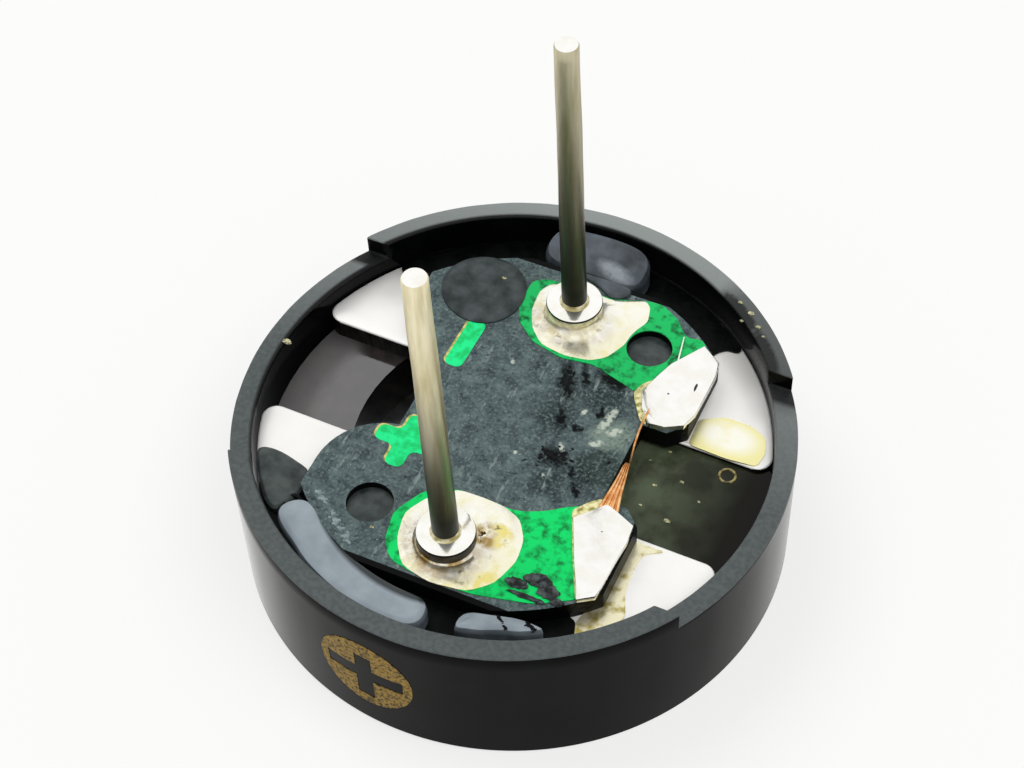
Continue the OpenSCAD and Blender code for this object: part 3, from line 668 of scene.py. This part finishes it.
# Painted shade: the stains grow on each pool's side towards the viewer.
shaded = add(tree, "MapRange", {"From Min": 0.4 * MM, "From Max": -0.5 * MM,
                                "To Min": 0.15, "To Max": 1.0}, {"Value": front})
spill = add(tree, "MapRange", {"From Min": 0.05, "From Max": 0.5, "To Max": 2.0},
            {"Value": spot(tree, coords, spill_middle, spill_half)})
shaded = add(tree, "Math", {"operation": "ADD"}, {0: shaded, 1: spill})
cleaner = add(tree, "MapRange", {"From Min": -1.0, "From Max": 1.0, "To Min": 1.0, "To Max": 0.6},
              {"Value": side})
shaded = add(tree, "Math", {"operation": "MULTIPLY"}, {0: shaded, 1: cleaner})
# Each stain: where it starts and is full from the pin's axis, its grain, range, and colour.
for start, full, grain, low, high, code in ((1.15, 0.68, 0.25, 0.33, 0.58, "#a98e56"),
                                            (0.9, 1.2, 0.3, 0.38, 0.6, "#efe28f"),
                                            (1.35, 0.6, 0.18, 0.6, 0.68, "#3a2415")):
    ring = add(tree, "MapRange", {"From Min": start * MM, "From Max": full * MM},
               {"Value": reach.outputs["Value"]})
    pattern = add(tree, "TexNoise", {"Scale": per(grain), "Detail": 5.0}, {"Vector": coords})
    pattern = add(tree, "MapRange", {"From Min": low, "From Max": high}, {"Value": pattern})
    share = add(tree, "Math", {"operation": "MULTIPLY"}, {0: ring, 1: pattern})
    share = add(tree, "Math", {"operation": "MULTIPLY"}, {0: share, 1: shaded})
    tint(tree, shader, code, share)
for name, side, climb, outline in (("plus_pin_solder", -1, 0.09, plus_pad),
                                   ("minus_pin_solder", 1, 0.24, minus_pad)):
    pad_mesh = bmesh.new()
    pad_mesh.faces.new([pad_mesh.verts.new((x * MM, y * MM, pad_low)) for x, y in outline])
    bmesh.ops.subdivide_edges(pad_mesh, edges=pad_mesh.edges[:], cuts=3)
    bmesh.ops.smooth_vert(pad_mesh, verts=pad_mesh.verts[:], factor=0.5, use_axis_x=True,
                          use_axis_y=True)
    ring, last = pad_mesh.edges[:], 0.0
    for share, height in pad_rise + [(0.93, 0.6 * climb), (1.0, climb)]:
        made = bmesh.ops.extrude_edge_only(pad_mesh, edges=ring)["geom"]
        for v in [g for g in made if isinstance(g, bmesh.types.BMVert)]:
            away = Vector((v.co.x, v.co.y - side * pin_y, 0))
            away *= 1 + (flange_r / away.length - 1) * (share - last) / (1 - last)
            lump = noise.noise(v.co * per(pad_lump_mm)) * pad_lump if 0 < share < 1 else 0
            v.co = (away.x, away.y + side * pin_y, pad_low + height * MM + lump)
        ring, last = [g for g in made if isinstance(g, bmesh.types.BMEdge)], share
    bmesh.ops.contextual_create(pad_mesh, geom=[e for e in pad_mesh.edges if e.is_boundary])
    bmesh.ops.recalc_face_normals(pad_mesh, faces=pad_mesh.faces)
    pad = piece(name + "_pool", pad_mesh, fluxed)
    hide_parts(name)


# Solder on the leads
# Thick bright joints over the two lead pads, with the wire's end inside. They froze with flat
# facets and were clipped along the board's edge. Yellow flux spread past them on the inner side.
joints = {
    "plus_lead_solder": [(2.15, -1.78), (2.43, -1.51), (2.67, -1.2), (3.0, -1.34), (3.38, -1.51),
                         (3.41, -1.94), (3.38, -2.46), (3.36, -3.11), (3.33, -3.36), (3.0, -3.57),
                         (2.65, -2.85)],
    "minus_lead_solder": [(2.19, 1.79), (2.34, 2.24), (2.5, 2.69), (2.65, 2.95), (2.98, 3.43),
                          (3.43, 3.14), (3.5, 2.75), (3.49, 2.2), (3.47, 1.65), (3.36, 1.27),
                          (2.99, 1.07), (2.67, 1.02), (2.36, 1.38)]}
joint_low, joint_high = 3.31 * MM, 3.47 * MM
facet_in, facet_up, facet_round = 0.12 * MM, 0.02 * MM, 0.02 * MM
flux_edges = {
    "plus_joint_flux": [(2.05, -1.55), (2.3, -1.22), (2.5, -1.05), (2.65, -1.25), (2.5, -1.6),
                        (2.45, -1.9), (2.65, -2.6), (3.0, -3.4), (2.97, -3.53), (2.6, -2.8),
                        (2.3, -2.15), (2.12, -1.75)],
    "minus_joint_flux": [(2.02, 1.78), (2.12, 2.05), (2.25, 2.2), (2.4, 2.3), (2.3, 1.8),
                         (2.45, 1.3), (2.6, 1.05), (2.42, 1.12), (2.25, 1.38), (2.1, 1.6)]}
flux_low, flux_high, flux_corner = 3.31, 3.345, 0.06
stub_from, stub_to = Vector((2.66, 2.5, 3.42)) * MM, Vector((2.46, 3.55, 3.38)) * MM
stub_r = 0.03 * MM

# Bright solder: a silver metal that froze smooth, in facets that catch the light one by one.
solder, *_ = surface("bright_solder", {"Metallic": 1.0, "Roughness": 0.22},
                     ("#f8f6ee", "#fdfcf9"), 0.35, bump=0.3, fine=0.2)
for name, outline in joints.items():
    rng = random.Random(len(name))
    joint_mesh = bmesh.new()
    joint_mesh.faces.new([joint_mesh.verts.new((x * MM, y * MM, joint_low)) for x, y in outline])
    risen = raised(joint_mesh, joint_mesh.faces[:], joint_high - joint_low)
    bmesh.ops.recalc_face_normals(joint_mesh, faces=joint_mesh.faces)
    top = [f for f in risen if isinstance(f, bmesh.types.BMFace)]
    bmesh.ops.inset_region(joint_mesh, faces=top, thickness=facet_in, depth=facet_up,
                           use_even_offset=True)
    for v in joint_mesh.verts:
        if v.co.z > joint_low + level:
            v.co.z += rng.uniform(-0.03, 0.02) * MM
    bmesh.ops.triangulate(joint_mesh, faces=[f for f in joint_mesh.faces if f.normal.z > 0.5])
    rounded(joint_mesh, [e for e in joint_mesh.edges if e.calc_face_angle(0) > math.radians(20)],
            facet_round, 2)
    joint = piece(name + "_joint", joint_mesh, solder)
    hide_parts(name)
# Yellow flux: a clear glossy resin, honey-coloured in its thick patches.
yellow_flux, *_ = surface("yellow_flux", {"Roughness": 0.25, "IOR": 1.52},
                          ("#8d8a34", "#f4ecb4"), 0.12, spread=(0.35, 0.6), bump=0.3, fine=0.1)
for name, outline in flux_edges.items():
    slab(name, yellow_flux, outline, flux_low, flux_high, flux_corner)
stub_mesh = bmesh.new()
stub = stub_to - stub_from
bmesh.ops.create_cone(stub_mesh, cap_ends=True, segments=12, radius1=stub_r, radius2=0.6 * stub_r,
                      depth=stub.length)
bmesh.ops.transform(stub_mesh, verts=stub_mesh.verts, matrix=Matrix.Translation(
    (stub_from + stub_to) / 2) @ stub.to_track_quat("Z", "Y").to_matrix().to_4x4())
piece("lead_stub", stub_mesh, solder)


# Adhesive beads
# Grey silicone run in between the board and the wall, front and back, to fix the board. It set
# glossy, in lumps that sag along the wall. Black sheets of painted shade lie in the gaps between.
def round_points(radius, start, step, count, x=0, y=0):
    """Points on a circle in plan, from a start angle on, a step in degrees apart."""
    turns = [math.radians(start + n * step) for n in range(count)]
    return [(x + radius * math.cos(a), y + radius * math.sin(a)) for a in turns]


beads = {
    "front_bead_long": [(-3.42, -3.58), (-3.1, -3.42), (-2.8, -3.6), (-2.5, -3.87), (-2.0, -4.15),
                        (-1.5, -4.37), (-1.0, -4.52), (-0.5, -4.6), (0.0, -4.62), (0.36, -4.68),
                        (0.42, -5.42), (-0.6, -5.42), (-1.4, -5.26), (-2.0, -5.04), (-2.5, -4.8),
                        (-2.85, -4.53), (-3.2, -4.32), (-3.5, -4.07), (-3.58, -3.85)],
    "front_bead_short": [(0.96, -4.66), (1.2, -4.52), (1.5, -4.46), (2.0, -4.32), (2.3, -4.28),
                         (2.62, -4.3), (2.68, -4.4), (2.4, -4.55), (2.2, -4.66), (1.9, -4.72),
                         (1.5, -4.92), (1.2, -5.0), (0.96, -5.1)],
    "back_bead": [(-1.3, 4.46), (-0.4, 4.44), (0.4, 4.44), (0.92, 4.46), (1.1, 4.8), (1.0, 5.36),
                  (0.4, 5.48), (-0.2, 5.5), (-0.8, 5.44), (-1.3, 5.34), (-1.42, 4.9)]}
bead_low, bead_rise, bead_jitter = 2.8, 0.5, 0.03
front_shoulder, back_shoulder = 0.11, 0.2
# The back bead rises towards the wall from this Y on, and its foot stays below this height.
back_from, back_slope, back_foot = 4.5 * MM, 0.3, 2.9 * MM
# The back bead's painted highlight streak, and a lap of it that ran on to the board behind the pin.
back_painted_highlight = [(0.35, 4.7, 0.6, 0.24, -15)]
lap_outline = [(-0.35, 4.3), (0.2, 4.2), (0.5, 3.96), (0.7, 3.99), (0.9, 4.13), (0.97, 4.38),
               (0.3, 4.4), (-0.2, 4.39)]
lap_low, lap_rise, lap_shoulder, lap_jitter = 3.29, 0.14, 0.1, 0.01
# The front bead has painted shade where it slopes down to the board, inside this circle.
slope_shade_middle, slope_shade_r = Vector((-0.125, -1.21, 3.25)) * MM, 3.61 * MM
# The painted highlight on the crest grows between these heights.
highlight_low, highlight_high = 3.16 * MM, 3.32 * MM
# Sheets of painted shade in the gaps, in plan.
shade_films = {
    "bead_gap_film": [(-4.45, -3.2), (-3.6, -3.15), (-3.25, -3.0), (-2.9, -3.4), (-2.2, -4.1),
                      (-1.55, -4.4), (1.5, -4.4), (2.3, -4.05), (2.85, -3.62), (3.05, -3.7),
                      (3.15, -4.0), (3.25, -4.3), (2.9, -4.58), (2.4, -4.86), (1.7, -5.16),
                      (1.0, -5.36), (-0.6, -5.45), (-1.6, -5.24), (-2.5, -4.88), (-3.2, -4.46),
                      (-3.95, -3.8)],
    "back_gap_film": [(2.9, 3.4), (3.14, 3.86), (3.3, 4.0), (3.56, 4.02), (3.6, 4.16)]
    + round_points(5.5, 54, 8, 10)
    + [(-4.0, 3.77), (-4.34, 3.38), (-4.15, 3.1), (-3.5, 2.9), (-3.0, 3.2), (-2.0, 4.0),
       (0.0, 4.2), (2.0, 4.0)]}
gap_low, gap_high, gap_corner = 2.79, 2.84, 0.06


def poured(name, finish, outline, low, height, shoulder, jitter, seed):
    """A piece that set from a liquid: an outline on a surface, raised to a rounded top."""
    rng = random.Random(seed)
    bm = bmesh.new()
    foot = bm.faces.new([bm.verts.new((x * MM, y * MM, low * MM)) for x, y in outline])
    crease = bm.edges.layers.float.new("crease_edge")
    for e in bm.edges:
        e[crease] = 0.9
    risen = raised(bm, [foot], 0.7 * height * MM)
    top = [f for f in risen if isinstance(f, bmesh.types.BMFace)][0]
    bmesh.ops.recalc_face_normals(bm, faces=bm.faces)
    for thickness, depth in ((0.3, 0.25), (1.0, 0.05)):
        bmesh.ops.inset_region(bm, faces=[top], thickness=thickness * shoulder * MM,
                               depth=depth * height * MM, use_even_offset=True)
        for v in top.verts:
            v.co.z += rng.uniform(-1, 1) * jitter * MM
    bmesh.ops.triangulate(bm, faces=[foot, top])
    made = piece(name, bm, finish)
    smooth = made.modifiers.new("set_surface", "SUBSURF")
    smooth.levels = smooth.render_levels = 3
    return made


# Grey silicone: a soft blue grey with a wet shine, a painted highlight on its crest and painted
# shade on its slope.
grey_silicone, tree, shader, coords = surface(
    "grey_silicone", {"Roughness": 0.22, "IOR": 1.42}, ("#5c676f", "#87939b"), 0.6,
    spread=(0.35, 0.65), bump=0.15, fine=0.3)
height = add(tree, "SeparateXYZ", {}, {"Vector": coords})
painted_crest_highlight = add(tree, "MapRange", {"From Min": highlight_low, "From Max": highlight_high, "To Max": 0.5},
            {"Value": height.outputs["Z"]})
tint(tree, shader, "#aab6be", painted_crest_highlight)
# Painted shade where the bead slopes down to the board.
slope_shade = add(tree, "VectorMath", {"operation": "DISTANCE", 1: slope_shade_middle}, {0: coords})
slope_shade = add(tree, "MapRange", {"From Min": slope_shade_r + 0.04 * MM, "From Max": slope_shade_r - 0.06 * MM},
             {"Value": slope_shade.outputs["Value"]})
tint(tree, shader, "#2c3234", slope_shade)
# Darker silicone: the same, darker, with one painted highlight streak.
dark_silicone, tree, shader, coords = surface(
    "darker_grey_silicone", {"Roughness": 0.22, "IOR": 1.42}, ("#2c3237", "#565e66"), 0.6,
    spread=(0.35, 0.65), bump=0.15, fine=0.3)
tint(tree, shader, "#b4bdc3", marked(tree, coords, back_painted_highlight, 1.6, 0.05, 0.7, 0.5))
for seed, (name, outline) in enumerate(beads.items()):
    finish = dark_silicone if name == "back_bead" else grey_silicone
    shoulder = back_shoulder if name == "back_bead" else front_shoulder
    bead = poured(name + "_silicone", finish, outline, bead_low, bead_rise, shoulder, bead_jitter,
                  seed)
    if name == "back_bead":
        for v in bead.data.vertices:
            v.co.z += back_slope * max(0, v.co.y - back_from) * (v.co.z > back_foot)
    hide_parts(name)
poured("back_bead_lap", dark_silicone, lap_outline, lap_low, lap_rise, lap_shoulder,
               lap_jitter, 5)
# Painted shade: a thin dull black skin over the plate in the gaps, for the shade at the front and
# the black wall's reflection at the back.
painted_shade_film, *_ = surface(
    "black_painted_shade_film", {"Roughness": 0.4, "IOR": 1.45, "Specular IOR Level": 0.1},
    ("#020303", "#0a0b0b"), 0.3, bump=0.4, fine=0.1)
for name, outline in shade_films.items():
    slab(name, painted_shade_film, outline, gap_low, gap_high, gap_corner)


# Dark dab, hole plugs and plate patch
# Black epoxy: a drop that holds the board's corner, the bit of it that filled the two small board
# holes from below, and a thin run on the plate beside the bead.
dab_outline = [(-3.15, 3.1), (-2.95, 2.55), (-2.45, 2.2), (-1.85, 2.12), (-1.35, 2.45),
               (-1.15, 3.0), (-1.22, 3.5), (-1.55, 3.95), (-2.1, 4.12), (-2.7, 3.95), (-3.05, 3.55)]
patch_outline = [(-4.92, -2.42), (-4.39, -2.34), (-3.82, -2.5), (-3.56, -2.56), (-3.45, -2.8),
                 (-3.42, -3.12), (-3.55, -3.45), (-3.7, -3.82), (-4.0, -3.7), (-4.38, -3.26),
                 (-4.68, -2.83)]
dab_low, dab_rise, dab_shoulder = 3.2, 0.2, 0.4
patch_low, patch_rise, patch_shoulder = 2.79, 0.22, 0.2
epoxy_jitter = 0.02
plugs = {"hole_plug_front": (-1.87, -3.01), "hole_plug_back": (1.87, 3.01)}
plug_r, plug_low, plug_top, plug_corner = 0.5, 2.79, 3.12, 0.01

# Dark epoxy: a charcoal drop with a matt, pitted skin.
dark_epoxy, *_ = surface(
    "dark_epoxy", {"Roughness": 0.38, "IOR": 1.5, "Specular IOR Level": 0.2},
    ("#272d2e", "#484f50"), 0.35, spread=(0.35, 0.65), bump=0.7, fine=0.14)
dab = poured("board_dab_epoxy", dark_epoxy, dab_outline, dab_low, dab_rise, dab_shoulder,
             epoxy_jitter, 2)
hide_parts("board_dab")
# The same epoxy run thin: smoother, with more shine.
run_epoxy, *_ = surface(
    "thin_run_epoxy", {"Roughness": 0.25, "IOR": 1.5, "Specular IOR Level": 0.25},
    ("#262d2d", "#4b5351"), 0.4, spread=(0.35, 0.65), bump=0.3, fine=0.2)
patch = poured("plate_patch_epoxy", run_epoxy, patch_outline, patch_low, patch_rise,
               patch_shoulder, epoxy_jitter, 7)
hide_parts("plate_patch")
for name, (x, y) in plugs.items():
    ring = round_points(plug_r, 0, 11.25, 32, x, y)
    slab(name, run_epoxy, ring, plug_low, plug_top, plug_corner)


# Notch resin
# Brown casting epoxy that fills the notch on the lead side level below the plate's top. It is
# glassy, with painted shade that darkens it towards the wall, and a burst bubble near the wall.
resin_low, resin_top, resin_corner, resin_wall = 2.3, 2.69, 0.005, 5.53
resin_outline = [(2.4, -1.29), (4.9, -1.29), (5.08, -1.33), (5.25, -1.45)] + round_points(
    resin_wall, -15, 3, 11) + [(5.25, 1.45), (5.08, 1.33), (4.9, 1.29), (2.4, 1.29)]
# The resin turns with the plate, and moves aside with it up to the wall.
resin_outline = [Matrix.Rotation(yoke_turn, 2) @ Vector((x, y + (yoke_aside if x < 5.3 else 0)))
                 for x, y in resin_outline]
wall_shade_from, wall_shade_full = 3.0 * MM, 5.0 * MM
bubble_at, bubble_r, bubble_lip = Vector((4.5, 0.95, 2.69)) * MM, 0.17 * MM, 0.03 * MM

# Brown epoxy: an olive-brown glass, with painted shade that turns it nearly black towards the wall.
brown_epoxy, tree, shader, coords = surface(
    "brown_epoxy", {"Roughness": 0.12, "IOR": 1.5, "Specular IOR Level": 0.15},
    ("#343a2a", "#535d48"), 0.7, bump=0.1, fine=0.4)
along = add(tree, "SeparateXYZ", {}, {"Vector": coords})
# Painted shade towards the wall.
wall_shade = add(tree, "MapRange", {"From Min": wall_shade_from, "From Max": wall_shade_full},
           {"Value": along.outputs["X"]})
tint(tree, shader, "#0d0b04", wall_shade)
resin = slab("notch_resin_epoxy", brown_epoxy, resin_outline, resin_low, resin_top, resin_corner)
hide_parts("notch_resin")
bubble_mesh = bmesh.new()
spun(bubble_mesh, round_points(bubble_lip, 0, 36, 10, x=bubble_r), steps=40)
if bubble_mesh.calc_volume(signed=True) < 0:
    bmesh.ops.reverse_faces(bubble_mesh, faces=bubble_mesh.faces)
bmesh.ops.translate(bubble_mesh, vec=bubble_at, verts=bubble_mesh.verts)
# The bubble's thin lip is painted paler than the rest, a painted highlight for the light through
# it.
lit_bubble_lip, *_ = surface("epoxy_lip_painted_highlight", {"Roughness": 0.2, "IOR": 1.5},
                        ("#4d4426", "#a79a62"), 0.12)
piece("resin_bubble_lip", bubble_mesh, lit_bubble_lip)


# Amber films
# Smears of pale amber cement on the plate beside the lead pads, and brown flux that ran off the
# front one.
amber_films = {
    "amber_film": [(3.47, 1.3), (3.44, 2.0), (3.96, 2.28), (4.54, 2.27), (4.93, 2.09), (5.06, 1.7),
                   (5.0, 1.32), (4.32, 1.26)],
    "front_film": [(3.36, -1.42), (3.83, -1.44), (4.06, -1.42), (3.67, -1.66), (3.64, -2.11),
                   (3.69, -2.67), (3.9, -3.16), (3.86, -3.55), (3.62, -3.95), (3.3, -4.2),
                   (3.08, -4.1), (3.04, -3.75), (3.3, -2.73), (3.36, -2.07)]}
film_low, film_high, film_corner = 2.795, 2.83, 0.1
amber_middle, amber_half = (4.2, 1.8, 2.83), (1.0, 0.6, 1)

# Amber cement: so thin that the plate's shine comes through, and yellower at its edge.
amber, tree, shader, coords = surface(
    "amber_cement", {"Metallic": 0.7, "Roughness": 0.25}, ("#faf3c4", "#fefdee"), 0.5,
    spread=(0.3, 0.5), bump=0.1, fine=0.3)
edge = add(tree, "MapRange", {"From Min": 0.6, "From Max": 0.2},
           {"Value": spot(tree, coords, amber_middle, amber_half)})
tint(tree, shader, "#f6efae", edge)
# Run flux: the plate's shine again, under a browner and more uneven stain.
brown_flux, *_ = surface(
    "run_flux", {"Metallic": 0.7, "Roughness": 0.25}, ("#b3a455", "#f7f0cc"), 0.25,
    spread=(0.33, 0.5), bump=0.2, fine=0.2)
for name, outline in amber_films.items():
    film = slab(name + "_cement", amber if name == "amber_film" else brown_flux, outline,
                film_low, film_high, film_corner)
    if name == "amber_film":
        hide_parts(name)


# Scorch crust, burr and crumbs
# Charred ink and burr from a slipped iron on the board, black lumps of painted shade in the cracks
# of the adhesive and the split in the short bead, and crumbs of plastic and dust. Each is a small
# rough lump.
burr_z, strewn_z, roughness = 3.33, 3.3, 0.55
burr = [(1.75, -3.62, 0.24, 0.12, 0.05), (2.12, -3.4, 0.3, 0.15, 0.09),
        (2.42, -3.58, 0.22, 0.16, 0.08), (2.66, -3.72, 0.14, 0.08, 0.05),
        (2.05, -3.84, 0.4, 0.06, 0.04)]
crumbs = [(-5.49, 0.12, 3.24, 0.1, 0.05), (3.3, 4.7, 3.69, 0.05, 0.03),
          (3.62, 4.5, 3.69, 0.07, 0.04), (3.9, 4.2, 3.69, 0.06, 0.04),
          (3.5, 4.25, 3.66, 0.04, 0.03), (4.1, 4.0, 3.68, 0.04, 0.03),
          (-1.55, -3.55, 3.3, 0.05, 0.03), (-1.83, 3.53, 3.4, 0.05, 0.03),
          (3.77, -0.62, 2.69, 0.07, 0.03), (3.16, 1.05, 2.69, 0.04, 0.03),
          (3.69, 0.42, 2.69, 0.04, 0.03), (3.19, 0.12, 2.69, 0.05, 0.03),
          (4.2, 0.09, 2.69, 0.03, 0.02), (3.11, -0.47, 2.69, 0.04, 0.03),
          (2.86, 0.68, 2.69, 0.03, 0.02)]
fibres = [(-2.4, -3.62, 0.95, 0.09, -36)]
specks = [(2.75, 1.91, 3.47, 0.03, 0.03, 0.02), (2.95, 2.69, 3.48, 0.02, 0.02, 0.02),
          (3.22, 2.3, 3.48, 0.025, 0.1, 0.015), (2.85, -1.9, 3.47, 0.025, 0.025, 0.02)]
crack_shade = [(-3.45, -3.3, 2.99, 0.16, 0.05, 0.03), (-3.6, -3.72, 2.99, 0.06, 0.16, 0.04)]
split_shade = [(1.86, -4.57, 0.24, 0.03, -38), (2.4, -4.42, 0.16, 0.05, -20)]


def lumps(name, finish, places, seed, detail=3):
    """Rough flattened lumps, each given by its place, half sizes and height."""
    bm = bmesh.new()
    for x, y, z, rx, ry, rz in places:
        made = bmesh.ops.create_icosphere(bm, subdivisions=detail, radius=1)["verts"]
        for v in made:
            v.co *= 1 + roughness * noise.noise(v.co * 2.2 + Vector((seed, x, y)))
            v.co = ((x + v.co.x * rx) * MM, (y + v.co.y * ry) * MM, (z + v.co.z * rz) * MM)
    return piece(name, bm, finish)


def strewn(marks, crowd, small, large, seed):
    """Places for grains strewn over marks on the board, crowd of them to the square millimetre."""
    rng = random.Random(seed)
    grains = []
    for x, y, long, wide, turn in marks:
        way = Vector((math.cos(math.radians(turn)), math.sin(math.radians(turn))))
        for _ in range(int(crowd * long * wide)):
            along, aside = rng.uniform(-0.8, 0.8) * long, rng.gauss(0, 0.35) * wide
            r = rng.uniform(small, large)
            grains.append((x + along * way.x - aside * way.y, y + along * way.y + aside * way.x,
                           strewn_z, r, r * rng.uniform(0.5, 1), 0.5 * r))
    return grains


# Charred ink: black and crumbly, with hardly any shine. The same black stands as painted shade in
# the adhesive's cracks.
char_and_shade, *_ = surface(
    "charred_ink_and_crack_shade", {"Roughness": 0.35, "IOR": 1.5, "Specular IOR Level": 0.1},
    ("#020202", "#141617"), 0.08, bump=0.5, fine=0.05)
# Torn ink: black with grey where it broke.
torn_ink, *_ = surface(
    "torn_ink", {"Roughness": 0.35, "IOR": 1.5, "Specular IOR Level": 0.25},
    ("#0d0f10", "#555b5c"), 0.15, spread=(0.4, 0.65), bump=0.5, fine=0.05)
crust = strewn(scorched[6:7], 160, 0.02, 0.06, 9)
lumps("scorch_crust", char_and_shade, crust, 1, 2)
torn = [(x, y, burr_z, rx, ry, h) for x, y, rx, ry, h in burr]
lumps("land_burr", torn_ink, torn, 2)
# Black lumps of painted shade along the cracks and the split.
crack_shade += strewn(split_shade, 3000, 0.02, 0.04, 8)
lumps("adhesive_crack_shade", char_and_shade, crack_shade, 4, 2)
lumps("joint_specks", burnt_flux_and_shade, specks, 6)
# Dust: pale yellow grey and quite matt.
dust, *_ = surface("pale_dust", {"Roughness": 0.7}, ("#8d8a62", "#d8d5b0"), 0.05)
# Raw laminate: grey glass fibres that came loose from the cut edge.
laminate, *_ = surface("raw_laminate", {"Roughness": 0.6, "IOR": 1.5},
                       ("#5a686c", "#93a1a3"), 0.15, bump=0.3, fine=0.08)
lumps("edge_fibre", laminate, strewn(fibres, 1600, 0.02, 0.05, 4), 5, 2)
crumbs = [(x, y, z, r, 0.6 * r, h) for x, y, z, r, h in crumbs]
lumps("rim_crumbs", dust, crumbs, 3)


# Studio
# White sweep under an even white tent, with two soft lamps above that show in no reflection, and
# the camera where the photograph was taken from.
camera_at = Vector((12.5198, -25.0014, 40.4139)) * MM
ahead = Vector((-0.275563, 0.550956, -0.787726))
right = Vector((0.909036, 0.415831, -0.027157))
above = Vector((-0.312599, 0.723555, 0.615427))
sensor, lens = 36, 77.32
# The tent's strength as a light and to the eye, and how far the paper glows to the eye and in
# reflections.
tent_light, tent_seen = 0.4, 1.0
paper_seen, paper_mirrored = 0.7, 0.4
floor_r, lamp_d = 0.5, 0.14
lamps = {"left_lamp": ((-0.1, 0.03, 0.2), 0.2), "right_lamp": ((0.1, -0.02, 0.2), 0.18)}

camera = bpy.data.objects.new("camera", bpy.data.cameras.new("camera"))
bpy.context.scene.collection.objects.link(camera)
camera.matrix_world = Matrix.Translation(camera_at) @ Matrix(
    (right, above, -ahead)).transposed().to_4x4()
camera.data.sensor_width, camera.data.lens = sensor, lens
camera.data.clip_start, camera.data.clip_end = 0.001, 10
bpy.context.scene.camera = camera
bpy.context.scene.view_settings.view_transform = "Standard"

world = bpy.data.worlds.new("white_tent")
bpy.context.scene.world = world
world.use_nodes = True
tree = world.node_tree
ray = add(tree, "LightPath").outputs
seen = add(tree, "Math", {"operation": "MAXIMUM"},
           {0: ray["Is Camera Ray"], 1: ray["Is Glossy Ray"]})
seen = add(tree, "Math", {"operation": "MAXIMUM"}, {0: seen, 1: ray["Is Transmission Ray"]})
strength = add(tree, "MapRange", {"To Min": tent_light, "To Max": tent_seen}, {"Value": seen})
tree.links.new(strength.outputs["Result"], tree.nodes["Background"].inputs["Strength"])
tree.nodes["Background"].inputs["Color"].default_value = (1, 1, 1, 1)

# White paper: matt, and lit from within enough to lose the floor's edge against the tent.
paper = bpy.data.materials.new("white_paper")
paper.use_nodes = True
tree = paper.node_tree
tree.nodes.clear()
ray = add(tree, "LightPath").outputs
seen = add(tree, "Math", {"operation": "MAXIMUM"},
           {0: ray["Is Camera Ray"], 1: ray["Is Transmission Ray"]})
lift = add(tree, "Math", {"operation": "MULTIPLY", 1: paper_seen}, {0: seen})
shone = add(tree, "Math", {"operation": "MULTIPLY", 1: paper_mirrored}, {0: ray["Is Glossy Ray"]})
lift = add(tree, "Math", {"operation": "MAXIMUM"}, {0: lift, 1: shone})
glow = add(tree, "Emission", {"Color": (1, 1, 1, 1), "Strength": 1.0})
matt = add(tree, "BsdfDiffuse", {"Color": linear("#f4f4f0")})
both = add(tree, "MixShader", {}, {0: lift, 1: matt, 2: glow})
add(tree, "OutputMaterial", {}, {"Surface": both})
floor_mesh = bmesh.new()
bmesh.ops.create_circle(floor_mesh, cap_ends=True, segments=64, radius=floor_r)
floor_data = bpy.data.meshes.new("floor")
floor_mesh.to_mesh(floor_data)
floor_mesh.free()
floor_data.materials.append(paper)
floor = bpy.data.objects.new("floor", floor_data)
bpy.context.scene.collection.objects.link(floor)

for name, (place, power) in lamps.items():
    lamp = bpy.data.objects.new(name, bpy.data.lights.new(name, "AREA"))
    lamp.data.shape, lamp.data.size, lamp.data.energy = "DISK", lamp_d, power
    lamp.location, lamp.visible_glossy = place, False
    lamp.rotation_euler = (-lamp.location).to_track_quat("-Z", "Y").to_euler()
    bpy.context.scene.collection.objects.link(lamp)
